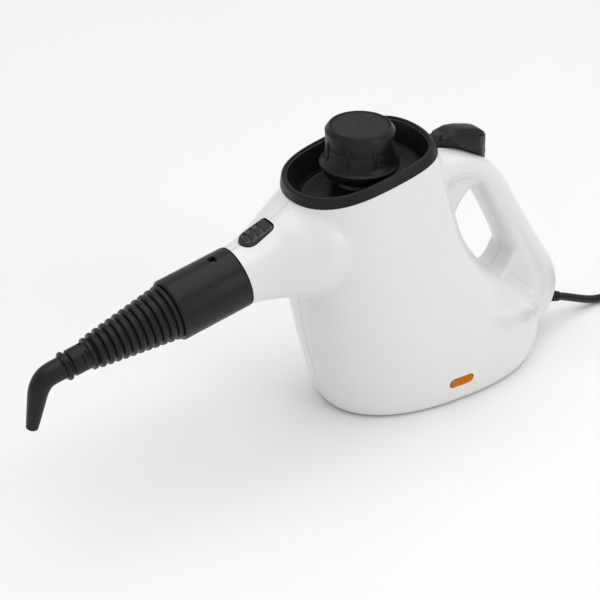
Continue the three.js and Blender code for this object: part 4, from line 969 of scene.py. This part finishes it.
def make_plug():
    profile = [(0, 0), (4.4, 0, 0.4)]
    for i in range(3):
        s = 2 + 3 * i
        r = 4.7 + 0.35 * i
        profile += [(r, s, 0.4), (r - 0.9, s + 0.5, 0.3), (r - 0.9, s + 1.5, 0.3), (r + 0.1, s + 2, 0.4)]
    profile += [(6.2, 12.4, 2), (10.8, 21.6, 4), (12.6, 25, 3), (13.2, 29, 3), (17.4, 31.2, 1.5),
                (18.5, 33, 1.2), (18.5, 43, 0.9), (17.6, 44, 0.6), (14.4, 44, 0.3), (14.2, 43.4, 0.3),
                (0, 43.4)]
    body = lathe("plug_shell", profile, "black_rubber", PLUG_AT, 96, 0.4)
    for side in (-1, 1):
        for i in range(5):
            x = 33.4 + 1.9 * i
            at = side * 18.9
            boolean(body, block("cut", at - 0.9, at + 0.9, -8, 8, x, x + 0.8, matrix=PLUG_AT))
    smooth(body, 38)
    dress(body, "housing", "black_rubber", "plug_body")
    pieces = [body]
    for i, z in enumerate((-9.5, 9.5)):
        at = Matrix.Translation((-159.4, 115.7, 18.9 + z)) @ turn_y(pi / 2)
        profile = [(0, 0), (2.4, 0), (2.4, 17.2, 1.2), (1.5, 19, 0.9), (0, 19)]
        pin = lathe("pin_%d" % (i + 1), profile, "steel", at, 40, 0.2)
        pieces.append(dress(pin, "housing", "steel", "plug_pin_%d" % (i + 1)))
    return pieces


def declare_cord(plug_pieces):
    """Makes the mains cord and prints its length. plug_pieces is not used."""
    cord, length, start = make_cord()
    print("cord length", round(length, 4))
    tuple(float(v) for v in start)


# ---------- Everything else ----------
def finish_cad():
    """Gives the CAD nodes that stay their materials and slightly rounded edges."""
    names = {row["node"]: row["material_slot"] for row in frame["record"]["subparts"]}
    for name, node in frame["nodes"].items():
        node.data.materials.clear()
        node.data.materials.append(MATERIALS[names[name]])
        if not node.hide_render:
            bevelled(node, 0.25, 2, 30)


def make_floor():
    size = 6.0
    mesh = bpy.data.meshes.new("floor")
    bm = bmesh.new()
    bmesh.ops.create_grid(bm, x_segments=8, y_segments=8, size=size)
    bm.to_mesh(mesh)
    bm.free()
    mesh.materials.append(MATERIALS["floor"])
    floor = bpy.data.objects.new("floor", mesh)
    bpy.context.scene.collection.objects.link(floor)


def area_light(name, eye, target, size, power, colour=(1, 1, 1)):
    light = bpy.data.lights.new(name, "AREA")
    light.shape = "RECTANGLE"
    light.size, light.size_y = size
    light.energy = power
    light.color = colour
    obj = bpy.data.objects.new(name, light)
    bpy.context.scene.collection.objects.link(obj)
    look_at(obj, eye, target)


def make_lights():
    world = bpy.data.worlds.new("studio")
    bpy.context.scene.world = world
    world.use_nodes = True
    background = world.node_tree.nodes["Background"]
    background.inputs["Color"].default_value = (1, 1, 1, 1)
    background.inputs["Strength"].default_value = 0.6
    area_light("key", (-0.1, -0.1, 2.6), (0.0, -0.1, 0), (3.2, 3.2), 40)
    area_light("side", (-0.7, 1.9, 1.1), (0.0, 0, 0.1), (0.9, 1.4), 7)
    bpy.context.scene.view_settings.view_transform = "Standard"


make_housing()
make_tray()
make_cap()
make_nozzle()
make_button()
make_trigger()
make_lens()
make_screws()
make_relief()
declare_cord(make_plug())
finish_cad()
make_floor()
make_lights()
